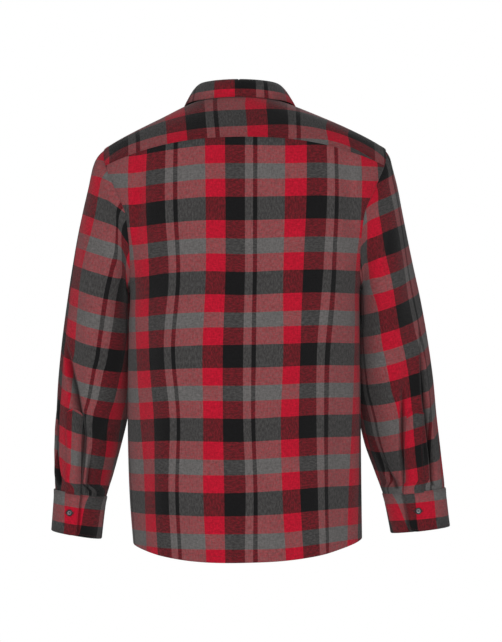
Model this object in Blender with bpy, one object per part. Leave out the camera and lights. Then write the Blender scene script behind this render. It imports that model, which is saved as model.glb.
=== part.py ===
"""Flannel shirt: long sleeves, back yoke, folded collar, button front, filled out as when worn.

Metres, +Z up. +Y is the way the shirt faces, +X is the wearer's right.
The origin is the middle of the neck, at shoulder height, where the wearer holds the shirt up.
"""
import bpy
import bmesh
import numpy as np
from mathutils import Matrix, Vector

# ---- sizes of the cloth and its sewing ----
CLOTH = 0.0016
FUSED_CLOTH = 0.0022
TRIM_CLOTH = 0.0014
SEAM_GAP = 0.0003
ARMHOLE_INSET = 0.00027
LAY_GAP = 0.0004

# ---- torso: one row for each ring from the hem up to the neck ----
# width: half width; back, front: depth behind and before the middle
# z_side, z_back, z_front: height at the sides, middle back and middle front
# square_back, square_front: how square the ring's corners are; drop: how late the height changes
# towards the side; shift: how far the ring stands to the wearer's right; lean: rise towards that side
TORSO_COLUMNS = ("width", "back", "front", "z_side", "z_back", "z_front", "square_back", "square_front",
                 "drop", "shift", "lean")
TORSO_ROWS = (
    (0.1885, 0.122, 0.122, -0.7180, -0.7440, -0.7440, 2.3, 2.1, 2.6, 0.0045, 0.024),
    (0.1910, 0.121, 0.123, -0.6400, -0.6550, -0.6550, 2.4, 2.1, 2.6, 0.0010, 0.018),
    (0.1920, 0.121, 0.125, -0.5450, -0.5500, -0.5500, 2.5, 2.1, 2.6, -0.0010, 0.008),
    (0.1915, 0.122, 0.128, -0.4400, -0.4400, -0.4400, 2.6, 2.1, 2.3, -0.0015, 0.000),
    (0.1900, 0.123, 0.132, -0.3550, -0.3450, -0.3500, 2.7, 2.1, 2.3, -0.0010, 0.000),
    (0.1900, 0.124, 0.133, -0.3000, -0.2700, -0.2850, 2.7, 2.2, 2.3, 0.0000, 0.000),
    (0.2010, 0.124, 0.130, -0.2500, -0.2150, -0.2350, 2.7, 2.4, 2.3, 0.0000, 0.000),
    (0.2230, 0.122, 0.124, -0.1980, -0.1600, -0.1900, 2.6, 2.5, 2.3, 0.0000, 0.000),
    (0.2425, 0.117, 0.114, -0.1500, -0.1050, -0.1500, 2.5, 2.5, 2.3, 0.0000, 0.000),
    (0.2490, 0.109, 0.102, -0.1070, -0.0535, -0.1200, 2.4, 2.4, 2.3, 0.0000, 0.000),
    (0.2430, 0.099, 0.091, -0.0820, -0.0300, -0.1010, 2.3, 2.3, 2.2, 0.0000, 0.000),
    (0.2265, 0.091, 0.084, -0.0660, -0.0165, -0.0890, 2.2, 2.2, 2.1, 0.0000, 0.000),
    (0.1850, 0.084, 0.078, -0.0430, -0.0065, -0.0810, 2.2, 2.2, 2.0, -0.0010, 0.000),
    (0.1390, 0.078, 0.073, -0.0210, 0.0010, -0.0750, 2.1, 2.1, 2.0, -0.0035, 0.000),
    (0.0960, 0.072, 0.069, -0.0010, 0.0080, -0.0700, 2.0, 2.0, 2.0, -0.0080, 0.000),
    (0.0660, 0.066, 0.066, 0.0110, 0.0130, -0.0660, 2.0, 2.0, 2.0, -0.0100, 0.000),
)
NECK_LEVEL = 15.0
YOKE_LEVEL = 9.0
UNDERARM_LEVEL = 5.0
UNDERARM_MIDDLE_LEVEL = 5.2

# ---- armhole: from the underarm, level 5, up to the shoulder point, level 11 ----
# level of the torso ring, and degrees behind and before the side
ARMHOLE_COLUMNS = ("back_level", "back_angle", "front_level", "front_angle")
ARMHOLE_ROWS = (
    (5.00, 0.0, 5.00, 0.0),
    (5.25, 16.0, 5.25, 17.0),
    (6.05, 29.0, 6.05, 31.0),
    (7.15, 37.0, 7.15, 40.0),
    (8.15, 34.5, 8.15, 38.0),
    (9.00, 28.5, 9.05, 31.0),
    (10.00, 22.0, 10.00, 22.0),
    (10.75, 12.0, 10.75, 12.0),
    (11.00, 0.0, 11.00, 0.0),
)
ARMHOLE_TOP = 8.0
YOKE_BACK_ROW = 5.0
YOKE_FRONT_ROW = 6.3
YOKE_NECK_ANGLE = 28.0
ARMHOLE_MIDDLE = (0.200, 0.0, -0.180)

# ---- sleeves: a row for each ring from the armhole to the wrist end of the cuff ----
# outer and inner: the point away from the body and the point next to it
# depth: half depth front to back; ahead: how far the ring's middle is before the side
SLEEVE_COLUMNS = ("outer_x", "outer_z", "inner_x", "inner_z", "depth", "ahead")
SLEEVE_LEFT_ROWS = (
    (0.2265, -0.0660, 0.1900, -0.3000, 0.082, 0.000),
    (0.2391, -0.0789, 0.1940, -0.3005, 0.081, 0.001),
    (0.2479, -0.0959, 0.1958, -0.3042, 0.080, 0.003),
    (0.2567, -0.1298, 0.1962, -0.3125, 0.079, 0.006),
    (0.2674, -0.1697, 0.1958, -0.3250, 0.078, 0.011),
    (0.2782, -0.2166, 0.1950, -0.3390, 0.077, 0.018),
    (0.2877, -0.2676, 0.1945, -0.3580, 0.075, 0.028),
    (0.2963, -0.3198, 0.1905, -0.3852, 0.073, 0.040),
    (0.3057, -0.3852, 0.1900, -0.4265, 0.070, 0.050),
    (0.3127, -0.4506, 0.1905, -0.4728, 0.066, 0.055),
    (0.3158, -0.5059, 0.1985, -0.5199, 0.062, 0.056),
    (0.3179, -0.5559, 0.2100, -0.5669, 0.056, 0.056),
    (0.3190, -0.6007, 0.2220, -0.6108, 0.050, 0.055),
    (0.3186, -0.6371, 0.2330, -0.6496, 0.043, 0.054),
    (0.3233, -0.7038, 0.2415, -0.7178, 0.040, 0.054),
)
SLEEVE_RIGHT_ROWS = (
    (0.2265, -0.0660, 0.1900, -0.3000, 0.082, 0.000),
    (0.2345, -0.0789, 0.1940, -0.3005, 0.081, 0.001),
    (0.2401, -0.0959, 0.1958, -0.3042, 0.080, 0.003),
    (0.2502, -0.1298, 0.1962, -0.3125, 0.079, 0.006),
    (0.2594, -0.1697, 0.1958, -0.3250, 0.078, 0.011),
    (0.2697, -0.2166, 0.1950, -0.3390, 0.077, 0.018),
    (0.2811, -0.2676, 0.1945, -0.3580, 0.075, 0.028),
    (0.2932, -0.3198, 0.1890, -0.3852, 0.073, 0.040),
    (0.3055, -0.3852, 0.1860, -0.4265, 0.070, 0.050),
    (0.3150, -0.4506, 0.1860, -0.4708, 0.066, 0.055),
    (0.3202, -0.5059, 0.1920, -0.5159, 0.062, 0.056),
    (0.3254, -0.5509, 0.2020, -0.5609, 0.057, 0.056),
    (0.3305, -0.5957, 0.2180, -0.6048, 0.051, 0.055),
    (0.3351, -0.6350, 0.2318, -0.6446, 0.043, 0.054),
    (0.3425, -0.6970, 0.2450, -0.7084, 0.038, 0.054),
)
SLEEVE_BLEND_ROWS = 6.0
CUFF_SEAM_ROW = 13.0
CUFF_END_ROW = 14.0

# ---- folds that run down the sleeves and the body ----
# row and turn: where the fold's middle is, by sleeve row and degrees round from the inner side
# rows and turns: half length and half width; lean: degrees of turn for each row down
FOLD_COLUMNS = ("row", "turn", "rows", "turns", "lean", "height")
LEFT_FOLDS = (
    (13.2, 92.0, 1.2, 9.0, -2.0, -0.0050),
    (13.2, 143.0, 1.5, 9.0, 3.0, -0.0055),
    (13.0, 116.0, 1.5, 13.0, 1.0, 0.0030),
    (9.5, 112.0, 1.6, 13.0, -9.0, -0.0060),
    (9.2, 140.0, 1.8, 15.0, -7.0, 0.0045),
    (11.0, 60.0, 1.4, 16.0, 6.0, -0.0040),
    (8.0, 45.0, 1.6, 15.0, 7.0, 0.0035),
    (5.5, 120.0, 1.5, 18.0, -8.0, 0.0030),
    (12.5, 230.0, 1.8, 14.0, 3.0, -0.0040),
    (9.0, 250.0, 1.8, 18.0, 6.0, 0.0040),
    (9.5, 300.0, 1.4, 16.0, -6.0, -0.0045),
)
RIGHT_FOLDS = (
    (13.2, 132.0, 1.3, 9.0, 2.0, -0.0055),
    (13.1, 64.0, 1.6, 8.0, 1.0, -0.0040),
    (13.0, 110.0, 1.5, 14.0, 0.0, 0.0025),
    (9.5, 106.0, 1.3, 12.0, -3.0, -0.0060),
    (9.6, 138.0, 1.7, 15.0, -4.0, 0.0040),
    (7.8, 60.0, 1.6, 16.0, 8.0, 0.0035),
    (11.0, 40.0, 1.5, 15.0, 5.0, -0.0035),
    (5.6, 115.0, 1.5, 18.0, -7.0, 0.0030),
    (12.5, 225.0, 1.8, 14.0, -3.0, -0.0040),
    (9.0, 255.0, 1.8, 18.0, -6.0, 0.0040),
    (9.5, 300.0, 1.4, 16.0, 6.0, -0.0045),
)

# x, z: middle of the fold on the body; half_width, half_height: its reach
# lean: sideways run for each metre up; height: how far it stands out; face: -1 back, 1 front
BODY_FOLD_COLUMNS = ("x", "z", "half_width", "half_height", "lean", "height", "face")
BODY_FOLDS = (
    (-0.176, -0.170, 0.014, 0.070, 0.05, -0.0060, -1.0),
    (0.174, -0.160, 0.014, 0.060, -0.06, -0.0065, -1.0),
    (-0.150, -0.300, 0.026, 0.120, 0.05, -0.0035, -1.0),
    (0.160, -0.520, 0.018, 0.190, 0.03, -0.0050, -1.0),
    (0.118, -0.600, 0.026, 0.160, -0.03, 0.0030, -1.0),
    (-0.130, -0.600, 0.024, 0.150, 0.04, 0.0030, -1.0),
    (-0.165, -0.560, 0.016, 0.140, 0.02, -0.0035, -1.0),
    (0.020, -0.640, 0.040, 0.120, 0.00, -0.0025, -1.0),
    (-0.120, -0.240, 0.022, 0.110, -0.30, -0.0045, 1.0),
    (0.120, -0.240, 0.022, 0.110, 0.30, -0.0045, 1.0),
    (-0.135, -0.560, 0.024, 0.170, 0.04, 0.0035, 1.0),
    (0.130, -0.580, 0.024, 0.160, -0.03, 0.0035, 1.0),
)

# ---- front opening, collar, cuffs, plackets and buttons ----
FRONT_OVERLAP = 0.0170
FRONT_UNDER_STEP = 0.0030
FRONT_UNDER_MARGIN = 0.004
FRONT_UNDER_REACH = 0.034
FRONT_OPENING_SHARE = 0.80
OPENING_CROWDING = 0.38
BACK_EVEN_SHARE = 0.35
YOKE_CORNER_SHARE = 0.62
NECK_INSET = 0.0005
PLACKET_WIDTH = 0.034
PLACKET_GAP = 0.0005
PLACKET_TOP_CLEAR = 0.10
PLACKET_COLUMNS = 3
STAND_HEIGHT_BACK = 0.0225
STAND_CLEAR = 0.0020
STAND_HEIGHT_FRONT = 0.024
STAND_LEAN = 0.0060
STAND_OVERLAP = 0.017
STAND_STEP = 0.0016
STAND_LAP_SHARE = 0.10
STAND_EASE_SHARE = 0.20
NECK_RADIUS = 0.066
FALL_ROLL_UP = 0.0042
FALL_KNEE_UP = 1.15
FALL_KNEE_OUT = 0.0140
FALL_ROLL = (0.0, 0.07, 0.16, 0.30, 0.50, 0.75, 1.0)
FALL_FRONT_ANGLE = 84.0
CUFF_OVERLAP_DEGREES = 40.0
CUFF_STEP = 0.0015
CUFF_LAP_SHARE = 0.13
CUFF_EASE_SHARE = 0.22
CUFF_GIRTH = 0.250
CUFF_LENGTH = 0.065
CUFF_ROUND_SHARES = (0.0, 0.004, 0.012, 0.024, 0.042)
CUFF_CORNER = 0.011
CUFF_EDGE_LEFT = 88.0
CUFF_EDGE_RIGHT = 69.0
CUFF_BUTTON_LEFT = 106.0
CUFF_BUTTON_RIGHT = 90.0
SLEEVE_PLACKET_COLUMNS = 4
SLEEVE_PLACKET_TURN = 0.066
SLEEVE_PLACKET_TAPER = 0.012
SLEEVE_PLACKET_DRIFT_LEFT = 0.036
SLEEVE_PLACKET_DRIFT_RIGHT = 0.062
SLEEVE_PLACKET_EXTRA = 0.0008
SLEEVE_PLACKET_TOP = 9.8
SLEEVE_PLACKET_POINT = 0.38
SLEEVE_PLACKET_END = 0.10
BUTTON_RADIUS = 0.0056
BUTTON_HEIGHT = 0.0024
BUTTON_RIM = 0.0014
BUTTON_DISH = 0.0006
FRONT_BUTTON_LEVELS = (1.35, 2.35, 3.30, 4.25, 5.60, 7.30)

# fall's lower edge, from the middle back to the point in front:
# share of the way round, degrees behind (-) or before the side, torso level, clear of the cloth
FALL_COLUMNS = ("share", "angle", "level", "clear")
FALL_ROWS = (
    (0.0, -90.0, 14.50, 0.0034),
    (0.25, -50.0, 14.42, 0.0034),
    (0.5, -5.0, 14.35, 0.0040),
    (0.7, 50.0, 13.10, 0.0050),
    (0.86, 70.0, 11.60, 0.0056),
    (1.0, 76.0, 10.20, 0.0060),
)

# ---- how finely each surface is divided ----
SIDE_STEPS = 11
ARMHOLE_BACK_STEPS = 9
YOKE_BACK_STEPS = 5
YOKE_FRONT_STEPS = 3
ARMHOLE_FRONT_STEPS = 11
BACK_HALF_COLUMNS = 12
FRONT_COLUMNS = 9
YOKE_ROWS = 9
SLEEVE_RING_ROWS = (0.0, 0.5, 1.0, 1.6, 2.3, 3.0, 3.8, 4.6, 5.4, 6.2, 7.0, 7.7, 8.4, 9.1,
                    9.8, 10.5, 11.1, 11.7, 12.2, 12.6, 13.0)
CUFF_COLUMNS = 30
CUFF_ROWS = 4
STAND_COLUMNS = 30
FALL_COLUMN_COUNT = 34
FALL_ROW_COUNT = 7
BUTTON_SIDES = 16

COLOURS = {
    "flannel_body": (0.30, 0.05, 0.07),
    "flannel_yoke": (0.26, 0.06, 0.08),
    "flannel_sleeve": (0.22, 0.06, 0.07),
    "flannel_trim": (0.32, 0.08, 0.09),
    "button_resin": (0.03, 0.03, 0.035),
}


# ---- working out points ----
def spline(rows, columns, name, position):
    """Smooth value of one table column at a fractional row."""
    values = np.array([row[columns.index(name)] for row in rows], dtype=float)
    position = np.clip(np.asarray(position, dtype=float), 0.0, len(values) - 1.0)
    base = np.minimum(position.astype(int), len(values) - 2)
    part = position - base
    before = values[np.maximum(base - 1, 0)]
    start = values[base]
    end = values[base + 1]
    after = values[np.minimum(base + 2, len(values) - 1)]
    slope_in = (end - before) / 2.0
    slope_out = (after - start) / 2.0
    cube = part ** 3
    square = part ** 2
    return (start * (2.0 * cube - 3.0 * square + 1.0) + slope_in * (cube - 2.0 * square + part)
            + end * (3.0 * square - 2.0 * cube) + slope_out * (cube - square))


def smooth_step(value):
    clipped = np.clip(value, 0.0, 1.0)
    return clipped * clipped * (3.0 - 2.0 * clipped)


def unit(vectors):
    length = np.linalg.norm(vectors, axis=-1, keepdims=True)
    return vectors / np.maximum(length, 1e-12)


def bare_torso(angle, level):
    """Right half of the torso without folds: degrees from the side, minus towards the back."""
    angle = np.radians(np.asarray(angle, dtype=float))
    level = np.asarray(level, dtype=float)
    square_back = spline(TORSO_ROWS, TORSO_COLUMNS, "square_back", level)
    square_front = spline(TORSO_ROWS, TORSO_COLUMNS, "square_front", level)
    square = np.where(np.sin(angle) > 0.0, square_front, square_back)
    reach = (np.abs(np.cos(angle)) ** square + np.abs(np.sin(angle)) ** square) ** (-1.0 / square)
    across = np.cos(angle) * reach
    along = np.sin(angle) * reach
    width = spline(TORSO_ROWS, TORSO_COLUMNS, "width", level)
    back = spline(TORSO_ROWS, TORSO_COLUMNS, "back", level)
    front = spline(TORSO_ROWS, TORSO_COLUMNS, "front", level)
    z_side = spline(TORSO_ROWS, TORSO_COLUMNS, "z_side", level)
    z_back = spline(TORSO_ROWS, TORSO_COLUMNS, "z_back", level)
    z_front = spline(TORSO_ROWS, TORSO_COLUMNS, "z_front", level)
    drop = spline(TORSO_ROWS, TORSO_COLUMNS, "drop", level)
    z_middle = np.where(along > 0.0, z_front, z_back)
    depth = np.where(along > 0.0, front, back)
    sideways = np.abs(across) ** drop
    z = z_middle + (z_side - z_middle) * sideways
    return np.stack([width * across, depth * along, z], axis=-1)


def body_fold(points):
    """How far the body's folds move a point out along its normal."""
    total = np.zeros(points.shape[:-1])
    for x, z, half_width, half_height, lean, height, face in BODY_FOLDS:
        off_side = (points[..., 0] - x - lean * (points[..., 2] - z)) / half_width
        off_height = (points[..., 2] - z) / half_height
        facing = smooth_step(points[..., 1] * face / 0.04)
        total += height * facing * np.exp(-off_side ** 2 - off_height ** 2)
    return total


def torso(side, angle, level, out=0.0):
    """A point of the cloth's middle on one side of the torso, moved out along its normal."""
    angle = np.asarray(angle, dtype=float)
    level = np.asarray(level, dtype=float)
    points = bare_torso(angle, level)
    normal = torso_normal(angle, level)
    points[..., 0] *= side
    points[..., 0] += spline(TORSO_ROWS, TORSO_COLUMNS, "shift", level)
    points[..., 2] += spline(TORSO_ROWS, TORSO_COLUMNS, "lean", level) * points[..., 0]
    moved = body_fold(points) + out
    mirrored = normal.copy()
    mirrored[..., 0] *= side
    return points + mirrored * np.asarray(moved)[..., None]


def torso_normal(angle, level):
    """Outward direction on the right half of the torso."""
    turn = bare_torso(angle + 0.4, level) - bare_torso(angle - 0.4, level)
    rise = bare_torso(angle, np.minimum(level + 0.02, NECK_LEVEL))
    rise = rise - bare_torso(angle, np.maximum(level - 0.02, 0.0))
    return unit(np.cross(turn, rise))


def armhole_place(turn):
    """Torso angle and level at a share round the armhole: 0 underarm, 0.5 top, by way of the back."""
    turn = np.asarray(turn, dtype=float)
    behind = turn <= 0.5
    row = np.where(behind, turn, 1.0 - turn) * 2.0 * ARMHOLE_TOP
    back_level = spline(ARMHOLE_ROWS, ARMHOLE_COLUMNS, "back_level", row)
    back_angle = spline(ARMHOLE_ROWS, ARMHOLE_COLUMNS, "back_angle", row)
    front_level = spline(ARMHOLE_ROWS, ARMHOLE_COLUMNS, "front_level", row)
    front_angle = spline(ARMHOLE_ROWS, ARMHOLE_COLUMNS, "front_angle", row)
    return np.where(behind, -back_angle, front_angle), np.where(behind, back_level, front_level)


def armhole_turns():
    """Shares round the armhole where the panels and the sleeve have their points."""
    back_end = YOKE_BACK_ROW / ARMHOLE_TOP / 2.0
    front_end = 1.0 - YOKE_FRONT_ROW / ARMHOLE_TOP / 2.0
    back = np.linspace(0.0, back_end, ARMHOLE_BACK_STEPS + 1)
    yoke_back = np.linspace(back_end, 0.5, YOKE_BACK_STEPS + 1)
    yoke_front = np.linspace(0.5, front_end, YOKE_FRONT_STEPS + 1)
    front = np.linspace(front_end, 1.0, ARMHOLE_FRONT_STEPS + 1)
    return back, yoke_back, yoke_front, front


def armhole_phase(turn):
    """Radians round the sleeve: 0 inner side, half a circle at the outer side."""
    samples = np.linspace(0.0, 1.0, 401)
    angle, level = armhole_place(samples)
    points = bare_torso(angle, level)
    steps = np.linalg.norm(np.diff(points, axis=0), axis=1)
    length = np.concatenate([[0.0], np.cumsum(steps)])
    half = length[200]
    phase = np.where(samples <= 0.5, length / half, 1.0 + (length - half) / (length[-1] - half))
    return np.pi * np.interp(turn, samples, phase)


def sleeve_table(side):
    return SLEEVE_RIGHT_ROWS if side > 0 else SLEEVE_LEFT_ROWS


def sleeve_frame(side, row):
    """Inner point, outer point, half depth and middle of a sleeve ring on the right side."""
    rows = sleeve_table(side)
    inner_x = spline(rows, SLEEVE_COLUMNS, "inner_x", row)
    inner_z = spline(rows, SLEEVE_COLUMNS, "inner_z", row)
    outer_x = spline(rows, SLEEVE_COLUMNS, "outer_x", row)
    outer_z = spline(rows, SLEEVE_COLUMNS, "outer_z", row)
    zero = np.zeros_like(inner_x)
    inner = np.stack([inner_x, zero, inner_z], axis=-1)
    outer = np.stack([outer_x, zero, outer_z], axis=-1)
    depth = spline(rows, SLEEVE_COLUMNS, "depth", row)
    ahead = spline(rows, SLEEVE_COLUMNS, "ahead", row)
    return inner, outer, depth, ahead


def ring_outward(inner, outer):
    """Direction at right angles to a ring's plane, towards the wrist."""
    run = unit(outer - inner)
    return np.stack([run[..., 2], np.zeros_like(run[..., 0]), -run[..., 0]], axis=-1)


def bare_sleeve(side, turn, row):
    """Right-hand version of a sleeve point without folds."""
    turn = np.asarray(turn, dtype=float)
    row = np.asarray(row, dtype=float)
    angle, level = armhole_place(turn % 1.0)
    start = bare_torso(angle, level)
    first_inner, first_outer, _, _ = sleeve_frame(side, np.zeros_like(turn))
    run = first_outer - first_inner
    share = np.sum((start - first_inner) * run, axis=-1) / np.sum(run * run, axis=-1)
    bulge = np.sum((start - first_inner) * ring_outward(first_inner, first_outer), axis=-1)
    inner, outer, depth, ahead = sleeve_frame(side, row)
    blend = smooth_step(row / SLEEVE_BLEND_ROWS)
    phase = armhole_phase(turn % 1.0)
    share = share + ((1.0 - np.cos(phase)) / 2.0 - share) * blend
    along = start[..., 1] + (ahead - depth * np.sin(phase) - start[..., 1]) * blend
    points = inner + (outer - inner) * share[..., None]
    points = points + ring_outward(inner, outer) * (bulge * (1.0 - blend))[..., None]
    points[..., 1] = along
    return points


def sleeve_fold(side, turn, row):
    """How far the sleeve's folds move a point out."""
    degrees = np.degrees(armhole_phase(turn % 1.0))
    total = np.zeros(np.broadcast(turn, row).shape)
    for at_row, at_turn, rows, turns, lean, height in RIGHT_FOLDS if side > 0 else LEFT_FOLDS:
        off_row = (row - at_row) / rows
        off_turn = (degrees - at_turn - lean * (row - at_row)) / turns
        total = total + height * np.exp(-off_row ** 2 - off_turn ** 2)
    fade_in = smooth_step((row - 1.0) / 3.0)
    fade_out = smooth_step((CUFF_SEAM_ROW - 0.05 - row) / 0.5)
    return total * fade_in * fade_out


def sleeve_normal(side, turn, row):
    around = bare_sleeve(side, turn + 0.004, row) - bare_sleeve(side, turn - 0.004, row)
    down = bare_sleeve(side, turn, np.minimum(row + 0.03, CUFF_END_ROW))
    down = down - bare_sleeve(side, turn, np.maximum(row - 0.03, 0.0))
    return unit(np.cross(down, around))


def sleeve(side, turn, row, out=0.0):
    """A point of the cloth's middle on a sleeve, moved out along its normal."""
    turn = np.asarray(turn, dtype=float) % 1.0
    row = np.asarray(row, dtype=float)
    points = bare_sleeve(side, turn, row)
    normal = sleeve_normal(side, turn, row)
    points = points + normal * np.asarray(sleeve_fold(side, turn, row) + out)[..., None]
    points[..., 0] *= side
    return points


def mirrored_normal(side, normal):
    flipped = normal.copy()
    flipped[..., 0] *= side
    return flipped


def armhole_normal(side, turn):
    """Shared direction of the two walls' ends along the armhole seam."""
    angle, level = armhole_place(turn % 1.0)
    body = torso_normal(angle, level)
    arm = sleeve_normal(side, turn, np.zeros_like(turn))
    return mirrored_normal(side, unit(body + arm))


def turn_at(degrees):
    """Share round the sleeve at an angle round it."""
    samples = np.linspace(0.0, 1.0, 721)
    return np.interp(np.asarray(degrees) % 360.0, np.degrees(armhole_phase(samples)), samples)


# ---- making meshes ----
def collection_for(name):
    collection = bpy.data.collections.new(name)
    bpy.context.scene.collection.children.link(collection)
    return collection


def material_for(name):
    material = bpy.data.materials.get(name)
    if material is None:
        material = bpy.data.materials.new(name)
        material.use_nodes = True
        shader = material.node_tree.nodes["Principled BSDF"]
        shader.inputs["Base Color"].default_value = (*COLOURS[name], 1.0)
        shader.inputs["Metallic"].default_value = 0.0
        shader.inputs["Roughness"].default_value = 0.35 if name == "button_resin" else 0.9
    return material


def finish_mesh(name, collection, mesh, material):
    part = bpy.data.objects.new(name, mesh)
    part.data.materials.append(material_for(material))
    collection.objects.link(part)
    part.data.polygons.foreach_set("use_smooth", [True] * len(part.data.polygons))
    return part


def wall(name, collection, outer, inner, material, closed=False):
    """A cloth wall lofted between a grid of outer points and a grid of inner points."""
    rows, columns = outer.shape[:2]
    points = np.concatenate([outer.reshape(-1, 3), inner.reshape(-1, 3)])
    offset = rows * columns
    last_column = columns if closed else columns - 1
    faces = []
    for row in range(rows - 1):
        for column in range(last_column):
            beside = (column + 1) % columns
            a = row * columns + column
            b = row * columns + beside
            c = (row + 1) * columns + beside
            d = (row + 1) * columns + column
            faces.append((a, b, c))
            faces.append((a, c, d))
            faces.append((offset + c, offset + b, offset + a))
            faces.append((offset + d, offset + c, offset + a))
    for column in range(last_column):
        beside = (column + 1) % columns
        top = (rows - 1) * columns
        faces.append((beside, column, offset + column, offset + beside))
        faces.append((top + column, top + beside, offset + top + beside, offset + top + column))
    if not closed:
        for row in range(rows - 1):
            first = row * columns
            above = first + columns
            last = first + columns - 1
            last_above = above + columns - 1
            faces.append((first, above, offset + above, offset + first))
            faces.append((last_above, last, offset + last, offset + last_above))
    mesh = bpy.data.meshes.new(name)
    mesh.from_pydata([tuple(point) for point in points], [], faces)
    mesh.update()
    scratch = bmesh.new()
    scratch.from_mesh(mesh)
    if scratch.calc_volume(signed=True) < 0.0:
        bmesh.ops.reverse_faces(scratch, faces=scratch.faces)
    scratch.to_mesh(mesh)
    scratch.free()
    return finish_mesh(name, collection, mesh, material)


def thick_wall(name, collection, middle, normal, thickness, material, closed=False):
    outer = middle + normal * (thickness / 2.0)
    inner = middle - normal * (thickness / 2.0)
    return wall(name, collection, outer, inner, material, closed)


def trim(edge, normal, inside, amount, closed=False):
    """How far each point of a seam's edge moves, square to the seam, towards points inside."""
    if closed:
        along = np.roll(edge, -1, axis=0) - np.roll(edge, 1, axis=0)
    else:
        along = np.gradient(edge, axis=0)
    square = unit(np.cross(along, normal))
    facing = np.sum(square * (inside - edge), axis=-1, keepdims=True)
    return square * np.where(facing < 0.0, -1.0, 1.0) * amount


def away_from_armhole(side, edge):
    """Points on the body's side of an armhole edge."""
    middle = np.array((side * ARMHOLE_MIDDLE[0], ARMHOLE_MIDDLE[1], ARMHOLE_MIDDLE[2]))
    return edge + (edge - middle)


def side_levels():
    return np.linspace(0.0, UNDERARM_LEVEL, SIDE_STEPS + 1)


# ---- body panels ----
def half_back(side):
    """Angle, level and normal grids from the middle back to the side seam and the armhole."""
    turns = armhole_turns()[0]
    arm_angle, arm_level = armhole_place(turns)
    edge_angle = np.concatenate([np.zeros(SIDE_STEPS), arm_angle])
    edge_level = np.concatenate([side_levels()[:-1], arm_level])
    rise = np.linspace(0.0, YOKE_LEVEL, len(edge_level))
    middle_level = edge_level + (rise - edge_level) * BACK_EVEN_SHARE
    share = np.linspace(0.0, 1.0, BACK_HALF_COLUMNS + 1)
    angle = -90.0 + (edge_angle[:, None] + 90.0) * share[None, :]
    weight = share[None, :] ** 2
    level = middle_level[:, None] * (1.0 - weight) + edge_level[:, None] * weight
    normal = mirrored_normal(side, torso_normal(angle, level))
    normal[SIDE_STEPS:, -1] = armhole_normal(side, turns)
    return angle, level, normal


def trim_body_edges(side, points, normal):
    """Trims a body panel at its side seam, its armhole and its top edge."""
    moves = np.zeros_like(points)
    seam = slice(0, SIDE_STEPS + 1)
    arm = slice(SIDE_STEPS, len(points))
    moves[seam, -1] += trim(points[seam, -1], normal[seam, -1], points[seam, -2], SEAM_GAP / 2.0)
    outside = away_from_armhole(side, points[arm, -1])
    moves[arm, -1] += trim(points[arm, -1], normal[arm, -1], outside, ARMHOLE_INSET)
    moves[-1] += trim(points[-1], normal[-1], points[-2], SEAM_GAP / 2.0)
    return moves


def build_back(collection):
    grids = []
    normals = []
    for side in (-1.0, 1.0):
        angle, level, normal = half_back(side)
        points = torso(side, angle, level)
        moves = trim_body_edges(side, points, normal)
        grids.append(points + moves)
        normals.append(normal)
    grid = np.concatenate([grids[0][:, :0:-1], grids[1]], axis=1)
    normal = np.concatenate([normals[0][:, :0:-1], normals[1]], axis=1)
    return thick_wall("back", collection, grid, normal, CLOTH, "flannel_body")


def neck_start_row(count):
    """Row of a front's grid where its opening meets the neck."""
    return int(count * FRONT_OPENING_SHARE)


def opening_levels(count):
    """Torso levels of a front's rows along its opening, hem to neck."""
    low = np.linspace(0.0, UNDERARM_MIDDLE_LEVEL, SIDE_STEPS + 1)
    rise = np.linspace(0.0, 1.0, neck_start_row(count) - SIDE_STEPS + 1)[1:]
    rise = rise + (rise ** 2 - rise) * OPENING_CROWDING
    high = UNDERARM_MIDDLE_LEVEL + (NECK_LEVEL - UNDERARM_MIDDLE_LEVEL) * rise
    return np.concatenate([low, high])


def lap_degrees(level, lap):
    """Degrees past the middle front for a lap of a given width."""
    return np.degrees(lap / spline(TORSO_ROWS, TORSO_COLUMNS, "width", level))


def front_outline(count):
    """Inner edge of a front, from the hem up the opening and round the neck to the yoke."""
    opening = opening_levels(count)
    start = 90.0 + lap_degrees(np.array([NECK_LEVEL]), FRONT_OVERLAP)[0]
    neck_angle = np.linspace(start, YOKE_NECK_ANGLE, count - len(opening) + 1)
    angle = np.concatenate([90.0 + lap_degrees(opening[:-1], FRONT_OVERLAP), neck_angle])
    level = np.concatenate([opening[:-1], np.full(len(neck_angle), NECK_LEVEL)])
    return angle, level


def front_grid(side):
    """Middle points and normals of one front. The left one laps over the right one."""
    turns = armhole_turns()[3][::-1]
    arm_angle, arm_level = armhole_place(turns)
    edge_angle = np.concatenate([np.zeros(SIDE_STEPS), arm_angle])
    edge_level = np.concatenate([side_levels()[:-1], arm_level])
    inner_angle, inner_level = front_outline(len(edge_level))
    share = np.linspace(0.0, 1.0, FRONT_COLUMNS + 1)
    angle = inner_angle[:, None] + (edge_angle - inner_angle)[:, None] * share[None, :]
    level = inner_level[:, None] + (edge_level - inner_level)[:, None] * share[None, :]
    normal = mirrored_normal(side, torso_normal(angle, level))
    normal[SIDE_STEPS:, -1] = armhole_normal(side, turns)
    points = torso(side, angle, level)
    moves = trim_body_edges(side, points, normal)
    neck = slice(neck_start_row(len(edge_level)), None)
    moves[neck, 0] += trim(points[neck, 0], normal[neck, 0], points[neck, 1], NECK_INSET)
    points = points + moves
    if side > 0:
        past_lap = (points[..., 0] - FRONT_OVERLAP - FRONT_UNDER_MARGIN) / FRONT_UNDER_REACH
        points = points - normal * (FRONT_UNDER_STEP * (1.0 - smooth_step(past_lap)))[..., None]
    return points, normal


def build_front(collection, side):
    points, normal = front_grid(side)
    name = "front_right" if side > 0 else "front_left"
    return thick_wall(name, collection, points, normal, CLOTH, "flannel_body")


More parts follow.
